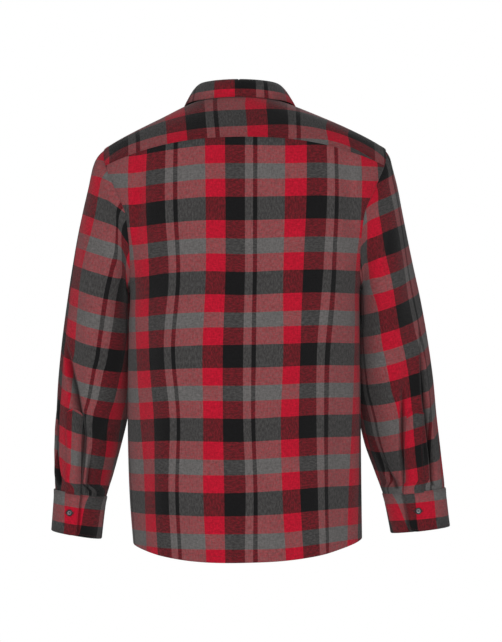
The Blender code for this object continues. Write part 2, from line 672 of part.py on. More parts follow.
def build_yoke(collection):
    """Yoke over both shoulders, from the left front seam round the back to the right one."""
    _, yoke_back, yoke_front, _ = armhole_turns()
    back_share = np.linspace(0.0, 1.0, BACK_HALF_COLUMNS + 1)
    back_edge_angle = armhole_place(yoke_back[:1])[0][0]
    seam_angle = -90.0 + (back_edge_angle + 90.0) * back_share
    arm_turns = np.concatenate([yoke_back[1:], yoke_front[1:]])
    arm_angle, arm_level = armhole_place(arm_turns)
    outer_angle = np.concatenate([seam_angle, arm_angle])
    outer_level = np.concatenate([np.full(len(seam_angle), YOKE_LEVEL), arm_level])
    arm_share = np.linspace(0.0, 1.0, len(arm_turns) + 1)[1:]
    neck_share = np.concatenate([
        YOKE_CORNER_SHARE * back_share,
        YOKE_CORNER_SHARE + (1.0 - YOKE_CORNER_SHARE) * arm_share,
    ])
    neck_angle = -90.0 + (90.0 + YOKE_NECK_ANGLE) * neck_share
    rise = np.linspace(0.0, 1.0, YOKE_ROWS + 1)[:, None]
    angle = outer_angle[None, :] + (neck_angle - outer_angle)[None, :] * rise
    level = outer_level[None, :] + (NECK_LEVEL - outer_level)[None, :] * rise
    grids = []
    normals = []
    corner = len(seam_angle) - 1
    for side in (-1.0, 1.0):
        normal = mirrored_normal(side, torso_normal(angle, level))
        normal[0, corner:] = armhole_normal(side, np.concatenate([yoke_back[:1], arm_turns]))
        points = torso(side, angle, level)
        moves = np.zeros_like(points)
        seam = slice(0, corner + 1)
        arm = slice(corner, None)
        moves[0, seam] += trim(points[0, seam], normal[0, seam], points[1, seam], SEAM_GAP / 2.0)
        outside = away_from_armhole(side, points[0, arm])
        moves[0, arm] += trim(points[0, arm], normal[0, arm], outside, ARMHOLE_INSET)
        moves[:, -1] += trim(points[:, -1], normal[:, -1], points[:, -2], SEAM_GAP / 2.0)
        moves[-1] += trim(points[-1], normal[-1], points[-2], NECK_INSET)
        grids.append(points + moves)
        normals.append(normal)
    grid = np.concatenate([grids[0][:, :0:-1], grids[1]], axis=1)
    normal = np.concatenate([normals[0][:, :0:-1], normals[1]], axis=1)
    return thick_wall("yoke", collection, grid, normal, CLOTH, "flannel_yoke")


# ---- sleeves, cuffs and sleeve plackets ----
def sleeve_turns():
    """Shares round a sleeve where it has its lines of points."""
    back, yoke_back, yoke_front, front = armhole_turns()
    return np.concatenate([back[:-1], yoke_back[:-1], yoke_front[:-1], front[:-1]])


def build_sleeve(collection, side):
    turns = sleeve_turns()
    rows = np.array(SLEEVE_RING_ROWS)
    turn_grid, row_grid = np.meshgrid(turns, rows)
    points = sleeve(side, turn_grid, row_grid)
    angle, level = armhole_place(turns)
    points[0] = torso(side, angle, level)
    normal = mirrored_normal(side, sleeve_normal(side, turn_grid, row_grid))
    normal[0] = armhole_normal(side, turns)
    start = trim(points[0], normal[0], points[1], ARMHOLE_INSET, closed=True)
    end = trim(points[-1], normal[-1], points[-2], SEAM_GAP / 2.0, closed=True)
    points[0] += start
    points[-1] += end
    name = "sleeve_right" if side > 0 else "sleeve_left"
    return thick_wall(name, collection, points, normal, CLOTH, "flannel_sleeve", closed=True)


def cuff_shares():
    """Shares along the cuff strip, closer together at its rounded end."""
    rest = np.linspace(0.07, 1.0, CUFF_COLUMNS)
    return np.concatenate([np.array(CUFF_ROUND_SHARES), rest])


def cuff_lift(share):
    """Top end of the strip stands out, the under end is let in."""
    top = 1.0 - smooth_step((share - CUFF_LAP_SHARE) / CUFF_EASE_SHARE)
    under = smooth_step((share - 1.0 + CUFF_LAP_SHARE + CUFF_EASE_SHARE) / CUFF_EASE_SHARE)
    return CUFF_STEP * (top - under)


def cuff_grid(side, out):
    start = CUFF_EDGE_RIGHT if side > 0 else CUFF_EDGE_LEFT
    shares = cuff_shares()
    degrees = start + (360.0 + CUFF_OVERLAP_DEGREES) * shares
    turns = turn_at(degrees)
    length = CUFF_GIRTH * (360.0 + CUFF_OVERLAP_DEGREES) / 360.0
    from_end = np.clip(shares * length, 0.0, CUFF_CORNER)
    cut = CUFF_CORNER - np.sqrt(np.maximum(CUFF_CORNER ** 2 - (CUFF_CORNER - from_end) ** 2, 0.0))
    reach = 1.0 - cut / CUFF_LENGTH
    down = np.linspace(0.0, 1.0, CUFF_ROWS + 1)[:, None]
    row = CUFF_SEAM_ROW + down * reach[None, :] * (CUFF_END_ROW - CUFF_SEAM_ROW)
    turn_grid = np.broadcast_to(turns[None, :], row.shape)
    lift = np.broadcast_to(cuff_lift(shares)[None, :], row.shape)
    points = sleeve(side, turn_grid, row, lift + out)
    normal = mirrored_normal(side, sleeve_normal(side, turn_grid, row))
    return points, normal


def build_cuff(collection, side):
    points, normal = cuff_grid(side, 0.0)
    points[0] += trim(points[0], normal[0], points[1], SEAM_GAP)
    name = "cuff_right" if side > 0 else "cuff_left"
    return thick_wall(name, collection, points, normal, FUSED_CLOTH, "flannel_trim")


def sleeve_placket_turns(side, rows, columns):
    """Turns across the strip at each row: from over the cuff's lapped edge, drifting outward as it rises."""
    edge = turn_at(CUFF_EDGE_RIGHT if side > 0 else CUFF_EDGE_LEFT)
    drift = SLEEVE_PLACKET_DRIFT_RIGHT if side > 0 else SLEEVE_PLACKET_DRIFT_LEFT
    rise = (CUFF_SEAM_ROW - rows) / (CUFF_SEAM_ROW - SLEEVE_PLACKET_TOP)
    width = SLEEVE_PLACKET_TURN - SLEEVE_PLACKET_TAPER * rise
    share = np.linspace(0.0, 1.0, columns + 1)
    return (edge + drift * rise)[:, None] + width[:, None] * share[None, :]


def on_sleeve_lines(side, turn_grid, rows):
    """Points on the flats between the sleeve's own lines of points."""
    columns = sleeve_turns()
    points = np.zeros(turn_grid.shape + (3,))
    for index, row in enumerate(rows):
        line = sleeve(side, columns, np.full(len(columns), row))
        for axis in range(3):
            points[index, :, axis] = np.interp(turn_grid[index], columns, line[:, axis])
    return points


def build_sleeve_placket(collection, side):
    """Strip with a pointed top over the sleeve's slit, above the cuff's edge."""
    rows = np.array([row for row in SLEEVE_RING_ROWS if row >= SLEEVE_PLACKET_TOP])
    turn_grid = sleeve_placket_turns(side, rows, SLEEVE_PLACKET_COLUMNS)
    row_grid = np.broadcast_to(rows[:, None], turn_grid.shape)
    clear = CLOTH / 2.0 + TRIM_CLOTH / 2.0 + LAY_GAP + SLEEVE_PLACKET_EXTRA
    normal = mirrored_normal(side, sleeve_normal(side, turn_grid, row_grid))
    points = on_sleeve_lines(side, turn_grid, rows) + normal * clear
    sides = np.abs(np.linspace(-1.0, 1.0, SLEEVE_PLACKET_COLUMNS + 1))[:, None]
    points[0] += (points[1] - points[0]) * SLEEVE_PLACKET_POINT * sides
    points[-1] += (points[-2] - points[-1]) * SLEEVE_PLACKET_END
    name = "sleeve_placket_right" if side > 0 else "sleeve_placket_left"
    return thick_wall(name, collection, points, normal, TRIM_CLOTH, "flannel_trim")


# ---- front placket and collar ----
def build_placket(collection):
    """Strip that faces the left front's edge, from the hem to the neck."""
    panel, facing = front_grid(-1.0)
    last = neck_start_row(len(panel))
    widths = np.linspace(0.0, PLACKET_WIDTH, PLACKET_COLUMNS + 1)
    points = np.zeros((last + 1, len(widths), 3))
    normal = np.zeros_like(points)
    for row in range(last + 1):
        steps = np.linalg.norm(np.diff(panel[row], axis=0), axis=1)
        length = np.concatenate([[0.0], np.cumsum(steps)])
        for axis in range(3):
            points[row, :, axis] = np.interp(widths, length, panel[row, :, axis])
            normal[row, :, axis] = np.interp(widths, length, facing[row, :, axis])
    normal = unit(normal)
    points = points + normal * (CLOTH / 2.0 + TRIM_CLOTH / 2.0 + PLACKET_GAP)
    points[-1] += (points[-2] - points[-1]) * PLACKET_TOP_CLEAR
    return thick_wall("placket_front", collection, points, normal, TRIM_CLOTH, "flannel_trim")


def neck_ring(angle):
    """Neck seam at any angle from the right side, minus towards the back, past 90 to the left."""
    return bare_torso(angle, np.full(np.shape(angle), NECK_LEVEL))


def neck_shift():
    return spline(TORSO_ROWS, TORSO_COLUMNS, "shift", NECK_LEVEL)


def stand_point(angle, up, out):
    """Point of the collar stand: up is the share of its height."""
    base = neck_ring(angle)
    flat = unit(base * np.array((1.0, 1.0, 0.0)))
    front = smooth_step((np.sin(np.radians(angle)) + 0.2) / 1.2)
    height = STAND_HEIGHT_BACK + (STAND_HEIGHT_FRONT - STAND_HEIGHT_BACK) * front
    rise = np.zeros_like(base)
    rise[..., 2] = height * up + STAND_CLEAR
    lean = STAND_LEAN * (1.0 - 0.75 * front)
    return base + rise + flat * np.asarray(out - lean * up)[..., None], flat


def build_stand(collection):
    lap = np.degrees(STAND_OVERLAP / NECK_RADIUS)
    share = np.linspace(0.0, 1.0, STAND_COLUMNS + 1)[None, :]
    angle = 90.0 + lap - (360.0 + 2.0 * lap) * share
    up = np.linspace(0.0, 1.0, 4)[:, None] + 0.0 * share
    angle = angle + 0.0 * up
    under = 1.0 - smooth_step((share - STAND_LAP_SHARE) / STAND_EASE_SHARE)
    over = smooth_step((share - 1.0 + STAND_LAP_SHARE + STAND_EASE_SHARE) / STAND_EASE_SHARE)
    points, flat = stand_point(angle, up, STAND_STEP * (over - under) + 0.0 * up)
    points[..., 0] += neck_shift()
    return thick_wall("collar_stand", collection, points, flat, FUSED_CLOTH, "flannel_trim")


def fall_grid(columns, rows, out):
    """Fall from its roll over the stand down to its lower edge, left point to right point."""
    share = np.linspace(-1.0, 1.0, columns)
    size = np.abs(share)
    side = np.where(share < 0.0, -1.0, 1.0)
    place = np.interp(size, [row[0] for row in FALL_ROWS], np.arange(len(FALL_ROWS)))
    edge_angle = spline(FALL_ROWS, FALL_COLUMNS, "angle", place)
    edge_level = spline(FALL_ROWS, FALL_COLUMNS, "level", place)
    clear = spline(FALL_ROWS, FALL_COLUMNS, "clear", place)
    edge = bare_torso(edge_angle, edge_level) + torso_normal(edge_angle, edge_level) * clear[:, None]
    top_angle = -90.0 + (FALL_FRONT_ANGLE + 90.0) * size
    top, flat = stand_point(top_angle, np.ones_like(size), np.zeros_like(size))
    top[:, 2] += FALL_ROLL_UP
    knee_angle = (top_angle + edge_angle) / 2.0
    knee, _ = stand_point(knee_angle, np.full_like(size, FALL_KNEE_UP), np.full_like(size, FALL_KNEE_OUT))
    roll = np.interp(np.linspace(0.0, 1.0, rows), np.linspace(0.0, 1.0, len(FALL_ROLL)), FALL_ROLL)
    roll = roll[:, None, None]
    points = top[None] * (1.0 - roll) ** 2 + knee[None] * 2.0 * roll * (1.0 - roll) + edge[None] * roll ** 2
    around = np.gradient(points, axis=1)
    down = np.gradient(points, axis=0)
    normal = unit(np.cross(down, around))
    facing = np.sum(normal * flat[None], axis=-1, keepdims=True) + 0.8 * normal[..., 2:3]
    normal = normal * np.where(facing < 0.0, -1.0, 1.0)
    points = points + normal * out
    points[..., 0] *= side[None, :]
    normal[..., 0] *= side[None, :]
    edge_shift = spline(TORSO_ROWS, TORSO_COLUMNS, "shift", edge_level)[None, :]
    points[..., 0] += neck_shift() + (edge_shift - neck_shift()) * roll[..., 0]
    return points, normal


def build_fall(collection):
    points, normal = fall_grid(FALL_COLUMN_COUNT, FALL_ROW_COUNT, 0.0)
    return thick_wall("collar_fall", collection, points, normal, FUSED_CLOTH, "flannel_trim")


# ---- buttons ----
def build_button(name, collection, place, normal):
    """Round button with a raised rim, set on a point of the cloth moved out."""
    mesh = bpy.data.meshes.new(name)
    scratch = bmesh.new()
    bmesh.ops.create_cone(scratch, cap_ends=True, segments=BUTTON_SIDES, radius1=BUTTON_RADIUS * 0.9,
                          radius2=BUTTON_RADIUS, depth=BUTTON_HEIGHT)
    top = max(scratch.faces, key=lambda face: face.calc_center_median().z)
    bmesh.ops.inset_region(scratch, faces=[top], thickness=BUTTON_RIM, depth=0.0)
    bmesh.ops.translate(scratch, verts=list(top.verts), vec=(0.0, 0.0, -BUTTON_DISH))
    facing = Vector(normal).to_track_quat("Z", "X").to_matrix().to_4x4()
    centre = Vector(place) + Vector(normal) * (BUTTON_HEIGHT / 2.0)
    bmesh.ops.transform(scratch, matrix=Matrix.Translation(centre) @ facing, verts=list(scratch.verts))
    scratch.to_mesh(mesh)
    scratch.free()
    return finish_mesh(name, collection, mesh, "button_resin")


def build_front_buttons(collection):
    clear = CLOTH / 2.0 + TRIM_CLOTH + PLACKET_GAP + LAY_GAP
    for number, level in enumerate(FRONT_BUTTON_LEVELS, start=1):
        angle = np.array([90.0])
        place = torso(-1.0, angle, np.array([level]), clear)[0]
        normal = torso_normal(angle, np.array([level]))[0]
        build_button("button_front_%d" % number, collection, place, normal)


def build_collar_button(collection):
    clear = STAND_STEP + FUSED_CLOTH / 2.0 + 2.0 * LAY_GAP
    place, flat = stand_point(np.array([90.0]), np.array([0.5]), clear)
    place[..., 0] += neck_shift()
    build_button("button_collar", collection, place[0], flat[0])


def build_cuff_button(collection, side):
    degrees = CUFF_BUTTON_RIGHT if side > 0 else CUFF_BUTTON_LEFT
    turn = turn_at(np.array([degrees]))
    row = np.array([CUFF_SEAM_ROW + 0.44])
    clear = CUFF_STEP + FUSED_CLOTH / 2.0 + 2.0 * LAY_GAP
    place = sleeve(side, turn, row, clear)[0]
    normal = mirrored_normal(side, sleeve_normal(side, turn, row))[0]
    name = "button_cuff_right" if side > 0 else "button_cuff_left"
    build_button(name, collection, place, normal)


def clear_scene():
    for item in list(bpy.data.objects):
        bpy.data.objects.remove(item, do_unlink=True)


def build_shirt():
    clear_scene()
    shirt = collection_for("flannel_shirt")
    build_back(shirt)
    build_yoke(shirt)
    for side in (-1.0, 1.0):
        build_front(shirt, side)
        build_sleeve(shirt, side)
        build_cuff(shirt, side)
        build_sleeve_placket(shirt, side)
        build_cuff_button(shirt, side)
    build_placket(shirt)
    build_stand(shirt)
    build_fall(shirt)
    build_front_buttons(shirt)
    build_collar_button(shirt)


build_shirt()
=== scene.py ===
"""Flannel shirt, dressed: plaid cloth shells, seams, stitches and buttons over the fixed frame.

Metres, +Z up, +Y the way the shirt faces, +X the wearer's right.
Origin: the middle of the neck at shoulder height.
"""
import functools
import math

import bmesh
import bpy
import numpy as np
from mathutils import Matrix, Vector


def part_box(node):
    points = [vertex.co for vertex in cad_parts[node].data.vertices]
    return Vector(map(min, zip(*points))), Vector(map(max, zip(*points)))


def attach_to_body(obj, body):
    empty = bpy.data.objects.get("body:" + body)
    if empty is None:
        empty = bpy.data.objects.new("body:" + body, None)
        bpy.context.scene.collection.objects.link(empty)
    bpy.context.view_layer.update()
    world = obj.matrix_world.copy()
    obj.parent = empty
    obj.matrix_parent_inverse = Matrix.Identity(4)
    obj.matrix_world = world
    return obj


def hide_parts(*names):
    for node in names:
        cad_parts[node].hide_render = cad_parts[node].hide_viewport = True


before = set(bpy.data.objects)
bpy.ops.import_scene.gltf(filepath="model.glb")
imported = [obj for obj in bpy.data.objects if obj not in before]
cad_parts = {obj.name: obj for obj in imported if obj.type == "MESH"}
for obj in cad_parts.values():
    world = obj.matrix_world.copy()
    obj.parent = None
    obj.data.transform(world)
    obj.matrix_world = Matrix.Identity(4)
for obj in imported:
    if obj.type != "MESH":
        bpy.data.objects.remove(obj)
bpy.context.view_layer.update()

LEFT, RIGHT = -1.0, 1.0
SIDE_NAMES = {LEFT: "left", RIGHT: "right"}

# ---- thickness of the cloth, and the gap under a strip laid on it ----
CLOTH = 0.0016
FUSED_CLOTH = 0.0022
TRIM_CLOTH = 0.0014
LAY_GAP = 0.0004
BODY_CLOTH = (CLOTH, "flannel_body")
YOKE_CLOTH = (CLOTH, "flannel_yoke")
SLEEVE_CLOTH = (CLOTH, "flannel_sleeve")
STRIP_CLOTH = (TRIM_CLOTH, "flannel_trim")
STIFF_CLOTH = (FUSED_CLOTH, "flannel_trim")

# ---- torso: one row for each ring from the hem up to the neck ----
# half width; depth behind and before the middle; height at the sides, middle back and middle front;
# how square the ring's corners are behind and before; how late the height changes towards the side;
# how far the ring stands to the wearer's right; its rise towards that side
TORSO = np.array((
    (0.1885, 0.122, 0.122, -0.718, -0.744, -0.744, 2.3, 2.1, 2.6, 0.0045, 0.024),
    (0.191, 0.121, 0.123, -0.64, -0.655, -0.655, 2.4, 2.1, 2.6, 0.001, 0.018),
    (0.192, 0.121, 0.125, -0.545, -0.55, -0.55, 2.5, 2.1, 2.6, -0.001, 0.008),
    (0.1915, 0.122, 0.128, -0.44, -0.44, -0.44, 2.6, 2.1, 2.3, -0.0015, 0),
    (0.19, 0.123, 0.132, -0.355, -0.345, -0.35, 2.7, 2.1, 2.3, -0.001, 0),
    (0.19, 0.124, 0.133, -0.3, -0.27, -0.285, 2.7, 2.2, 2.3, 0, 0),
    (0.201, 0.124, 0.13, -0.25, -0.215, -0.235, 2.7, 2.4, 2.3, 0, 0),
    (0.223, 0.122, 0.124, -0.198, -0.16, -0.19, 2.6, 2.5, 2.3, 0, 0),
    (0.2425, 0.117, 0.114, -0.15, -0.105, -0.15, 2.5, 2.5, 2.3, 0, 0),
    (0.249, 0.109, 0.102, -0.107, -0.0535, -0.12, 2.4, 2.4, 2.3, 0, 0),
    (0.243, 0.099, 0.091, -0.082, -0.03, -0.101, 2.3, 2.3, 2.2, 0, 0),
    (0.2265, 0.091, 0.084, -0.066, -0.0165, -0.089, 2.2, 2.2, 2.1, 0, 0),
    (0.185, 0.084, 0.078, -0.043, -0.0065, -0.081, 2.2, 2.2, 2, -0.001, 0),
    (0.139, 0.078, 0.073, -0.021, 0.001, -0.075, 2.1, 2.1, 2, -0.0035, 0),
    (0.096, 0.072, 0.069, -0.001, 0.008, -0.07, 2, 2, 2, -0.008, 0),
    (0.066, 0.066, 0.066, 0.011, 0.013, -0.066, 2, 2, 2, -0.01, 0),
))
WIDTH, SHAPE_COLUMNS, SHIFT, LEAN = 0, 9, 9, 10
NECK_LEVEL = 15.0
YOKE_LEVEL = 9.0
UNDERARM_LEVEL = 5.0
UNDERARM_MIDDLE_LEVEL = 5.2

# ---- armhole: from the underarm up to the shoulder point ----
# level of the torso ring and degrees behind the side, then the same before the side
ARMHOLE = np.array((
    (5, 0, 5, 0), (5.25, 16, 5.25, 17), (6.05, 29, 6.05, 31), (7.15, 37, 7.15, 40),
    (8.15, 34.5, 8.15, 38), (9, 28.5, 9.05, 31), (10, 22, 10, 22), (10.75, 12, 10.75, 12),
    (11, 0, 11, 0),
))
ARMHOLE_TOP = 8.0
YOKE_BACK_ROW = 5.0
YOKE_FRONT_ROW = 6.3
YOKE_NECK_ANGLE = 28.0

# ---- sleeves: a row for each ring from the armhole to the wrist end of the cuff ----
# x and z of the point away from the body, then of the point next to it; half depth front to back;
# how far the ring's middle is before the side
SLEEVES = {LEFT: np.array((
    (0.2265, -0.066, 0.19, -0.3, 0.082, 0), (0.2391, -0.0789, 0.194, -0.3005, 0.081, 0.001),
    (0.2479, -0.0959, 0.1958, -0.3042, 0.08, 0.003),
    (0.2567, -0.1298, 0.1962, -0.3125, 0.079, 0.006),
    (0.2674, -0.1697, 0.1958, -0.325, 0.078, 0.011),
    (0.2782, -0.2166, 0.195, -0.339, 0.077, 0.018),
    (0.2877, -0.2676, 0.1945, -0.358, 0.075, 0.028),
    (0.2963, -0.3198, 0.1905, -0.3852, 0.073, 0.04), (0.3057, -0.3852, 0.19, -0.4265, 0.07, 0.05),
    (0.3127, -0.4506, 0.1905, -0.4728, 0.066, 0.055),
    (0.3158, -0.5059, 0.1985, -0.5199, 0.062, 0.056),
    (0.3179, -0.5559, 0.21, -0.5669, 0.056, 0.056), (0.319, -0.6007, 0.222, -0.6108, 0.05, 0.055),
    (0.3186, -0.6371, 0.233, -0.6496, 0.043, 0.054),
    (0.3233, -0.7038, 0.2415, -0.7178, 0.04, 0.054),
)), RIGHT: np.array((
    (0.2265, -0.066, 0.19, -0.3, 0.082, 0), (0.2345, -0.0789, 0.194, -0.3005, 0.081, 0.001),
    (0.2401, -0.0959, 0.1958, -0.3042, 0.08, 0.003),
    (0.2502, -0.1298, 0.1962, -0.3125, 0.079, 0.006),
    (0.2594, -0.1697, 0.1958, -0.325, 0.078, 0.011),
    (0.2697, -0.2166, 0.195, -0.339, 0.077, 0.018),
    (0.2811, -0.2676, 0.1945, -0.358, 0.075, 0.028),
    (0.2932, -0.3198, 0.189, -0.3852, 0.073, 0.04), (0.3055, -0.3852, 0.186, -0.4265, 0.07, 0.05),
    (0.315, -0.4506, 0.186, -0.4708, 0.066, 0.055),
    (0.3202, -0.5059, 0.192, -0.5159, 0.062, 0.056),
    (0.3254, -0.5509, 0.202, -0.5609, 0.057, 0.056),
    (0.3305, -0.5957, 0.218, -0.6048, 0.051, 0.055),
    (0.3351, -0.635, 0.2318, -0.6446, 0.043, 0.054),
    (0.3425, -0.697, 0.245, -0.7084, 0.038, 0.054),
))}
SLEEVE_BLEND_ROWS = 6.0
CUFF_SEAM_ROW = 13.0
CUFF_END_ROW = 14.0

# ---- folds and finer creases that run down the sleeves ----
# sleeve row and degrees round from the inner side at the middle; half length in rows; half width in
# degrees; degrees of lean for each row down; how far it stands out
SLEEVE_FOLDS = {LEFT: (
    (13.2, 92, 1.2, 9, -2, -0.005), (13.2, 143, 1.5, 9, 3, -0.0055), (13, 116, 1.5, 13, 1, 0.003),
    (9.5, 112, 1.6, 13, -9, -0.006), (9.2, 140, 1.8, 15, -7, 0.0045), (11, 60, 1.4, 16, 6, -0.004),
    (8, 45, 1.6, 15, 7, 0.0035), (5.5, 120, 1.5, 18, -8, 0.003), (12.5, 230, 1.8, 14, 3, -0.004),
    (9, 250, 1.8, 18, 6, 0.004), (9.5, 300, 1.4, 16, -6, -0.0045), (12.3, 75, 0.9, 5, 2, 0.0016),
    (12.5, 158, 1, 5, 4, 0.0016), (11, 128, 1.1, 5, -9, -0.0016), (9.9, 92, 0.9, 7, -12, 0.0014),
    (8.2, 150, 1.3, 8, -6, -0.0016), (7.2, 78, 1.2, 9, 9, -0.0014),
    (4.2, 105, 1.2, 9, -10, -0.0012), (6.3, 30, 1, 8, 14, 0.0014), (12.6, 200, 0.9, 6, 3, -0.0016),
    (12.4, 262, 1, 6, -4, -0.0018), (10.6, 282, 1.1, 7, 8, 0.0014), (8, 222, 1.3, 8, 7, -0.0014),
    (6.2, 285, 1.2, 9, -10, 0.0014), (3, 350, 2.3, 15, 0, 0.0065), (3, -10, 2.3, 15, 0, 0.0065),
    (2.4, 350, 0.5, 15, 0, 0.004), (2.4, -10, 0.5, 15, 0, 0.004),
), RIGHT: (
    (13.2, 132, 1.3, 9, 2, -0.0055), (13.1, 64, 1.6, 8, 1, -0.004), (13, 110, 1.5, 14, 0, 0.0025),
    (9.5, 106, 1.3, 12, -3, -0.006), (9.6, 138, 1.7, 15, -4, 0.004), (7.8, 60, 1.6, 16, 8, 0.0035),
    (11, 40, 1.5, 15, 5, -0.0035), (5.6, 115, 1.5, 18, -7, 0.003),
    (12.5, 225, 1.8, 14, -3, -0.004), (9, 255, 1.8, 18, -6, 0.004),
    (9.5, 300, 1.4, 16, 6, -0.0045), (12.4, 92, 0.9, 5, 1, 0.0014), (12.4, 150, 1, 5, -3, 0.0016),
    (11.4, 120, 1.1, 5, 3, -0.0013), (10.2, 88, 1, 6, 2, 0.0012), (8.4, 148, 1.3, 8, -4, -0.0016),
    (7, 84, 1.2, 9, 8, -0.0013), (4.4, 100, 1.2, 9, -9, -0.0012), (6.4, 28, 1, 8, 12, 0.0014),
    (12.6, 195, 0.9, 6, -3, -0.0016), (12.3, 258, 1, 6, 4, -0.0018),
    (10.4, 285, 1.1, 7, -8, 0.0014), (8.1, 220, 1.3, 8, -7, -0.0014), (6, 288, 1.2, 9, 10, 0.0014),
    (3.5, 350, 2.8, 15, 0, 0.0068), (3.5, -10, 2.8, 15, 0, 0.0068), (2.4, 350, 0.5, 15, 0, 0.004),
    (2.4, -10, 0.5, 15, 0, 0.004),
)}
FOLDS_START = (1.0, 3.0)
FOLDS_END = (0.05, 0.5)

# ---- folds and finer creases of the body ----
# x and z of the middle; half width; half height; sideways run for each metre up; how far it stands
# out; -1 on the back, 1 on the front
BODY_FOLDS = (
    (-0.176, -0.17, 0.014, 0.07, 0.05, -0.006, -1),
    (0.174, -0.16, 0.014, 0.06, -0.06, -0.0065, -1), (-0.15, -0.3, 0.026, 0.12, 0.05, -0.0035, -1),
    (0.16, -0.52, 0.018, 0.19, 0.03, -0.005, -1), (0.118, -0.6, 0.026, 0.16, -0.03, 0.003, -1),
    (-0.13, -0.6, 0.024, 0.15, 0.04, 0.003, -1), (-0.165, -0.56, 0.016, 0.14, 0.02, -0.0035, -1),
    (0.02, -0.64, 0.04, 0.12, 0, -0.0025, -1), (-0.12, -0.24, 0.022, 0.11, -0.3, -0.0045, 1),
    (0.12, -0.24, 0.022, 0.11, 0.3, -0.0045, 1), (-0.135, -0.56, 0.024, 0.17, 0.04, 0.0035, 1),
    (0.13, -0.58, 0.024, 0.16, -0.03, 0.0035, 1), (-0.184, -0.17, 0.006, 0.06, 0.05, 0.0022, -1),
    (0.184, -0.15, 0.006, 0.045, -0.06, 0.0022, -1), (-0.06, -0.33, 0.018, 0.2, 0.03, 0.001, -1),
    (0.07, -0.42, 0.016, 0.17, -0.02, -0.001, -1), (-0.1, -0.48, 0.014, 0.15, 0.05, -0.0012, -1),
    (0.01, -0.52, 0.022, 0.19, 0.02, 0.0009, -1), (0.14, -0.38, 0.012, 0.14, 0.04, 0.0011, -1),
    (0.045, -0.69, 0.014, 0.07, 0.06, 0.0012, -1), (-0.035, -0.7, 0.012, 0.06, -0.05, -0.0012, -1),
    (-0.09, -0.69, 0.013, 0.07, 0.04, 0.0012, -1), (0.1, -0.7, 0.012, 0.06, -0.04, -0.0011, -1),
    (-0.07, -0.38, 0.016, 0.16, -0.05, 0.0012, 1), (0.075, -0.42, 0.015, 0.15, 0.04, -0.0012, 1),
    (-0.11, -0.66, 0.014, 0.08, 0.05, -0.0013, 1), (0.095, -0.68, 0.013, 0.08, -0.05, 0.0013, 1),
    (0.15, -0.3, 0.012, 0.07, 0.55, -0.0018, 1), (-0.155, -0.31, 0.012, 0.075, -0.55, -0.0018, 1),
)
FACE_FADE = 0.04

# ---- pleats of the sleeves: each is a line of places down the sleeve ----
# sleeve row and degrees round; half width in degrees; depth of the trough there
SLEEVE_PLEATS = {LEFT: (
    ((7.9, 147, 3.6, 0), (8.5, 133, 4.2, 0.0048), (9.2, 120.5, 4.8, 0.0066),
     (9.7, 113, 5.2, 0.008), (10.2, 104, 5.6, 0.009), (10.6, 97, 5.6, 0.0092),
     (11.2, 94.6, 5, 0.0084), (11.7, 93.8, 4.6, 0.0076), (12.4, 91.5, 4.2, 0.0064),
     (13, 87, 3.6, 0.004)),
    ((9.2, 149, 3.4, 0), (9.8, 152.5, 4.2, 0.005), (10.5, 158, 5, 0.0072), (11.3, 156, 5, 0.0076),
     (12, 149.6, 4.6, 0.0068), (12.9, 141, 4, 0.0048)),
    ((11, 79, 3.4, 0), (11.8, 77, 4, 0.0044), (12.5, 75, 4.2, 0.005), (12.9, 74, 3.8, 0.004)),
    ((8.8, 231, 3.6, 0), (9.7, 236, 4.4, 0.005), (11, 243, 5, 0.0068), (12.8, 240, 4.2, 0.0046)),
    ((10.1, 302, 3.6, 0), (11.2, 297, 4.6, 0.0054), (12.8, 291, 4.2, 0.0046)),
), RIGHT: (
    ((9, 100.2, 2.8, 0), (9.6, 97.6, 3.2, 0.0046), (10.2, 93.6, 3.6, 0.0066),
     (10.9, 88.6, 3.9, 0.0076), (11.4, 84.4, 4.2, 0.0078), (11.9, 80.8, 4.4, 0.008),
     (12.5, 75.6, 4.4, 0.0066), (13, 70, 3.8, 0.004)),
    ((7.4, 143.5, 3.2, 0), (8.1, 138, 3.4, 0.0034), (8.7, 134, 3.8, 0.0048),
     (9.3, 131.5, 4, 0.0058), (10, 132.6, 4.4, 0.0076), (11, 133.3, 4.6, 0.0086),
     (11.9, 132.6, 4.6, 0.008), (12.8, 127, 4.2, 0.0056)),
    ((10.6, 38, 4.6, 0), (11.9, 47, 5.4, 0.005), (12.8, 57, 5.4, 0.0056)),
    ((8.9, 228, 3.6, 0), (9.8, 232, 4.4, 0.0052), (11.2, 238, 5, 0.0066), (12.8, 236, 4.2, 0.0046)),
    ((10.3, 298, 3.6, 0), (11.3, 294, 4.6, 0.0052), (12.8, 287, 4.2, 0.0044)),
)}
PLEAT_LIP = 0.30
PLEAT_LIP_PLACE = 1.9
PLEAT_CORE = 0.9
ARMHOLE_SAMPLES = 401
TURN_SAMPLES = 721
PLEAT_FULL_DEPTH = 0.0060

# ---- steps between the points that a surface's direction is taken from ----
ANGLE_STEP = 0.4
LEVEL_STEP = 0.02
TURN_STEP = 0.004
ROW_STEP = 0.03

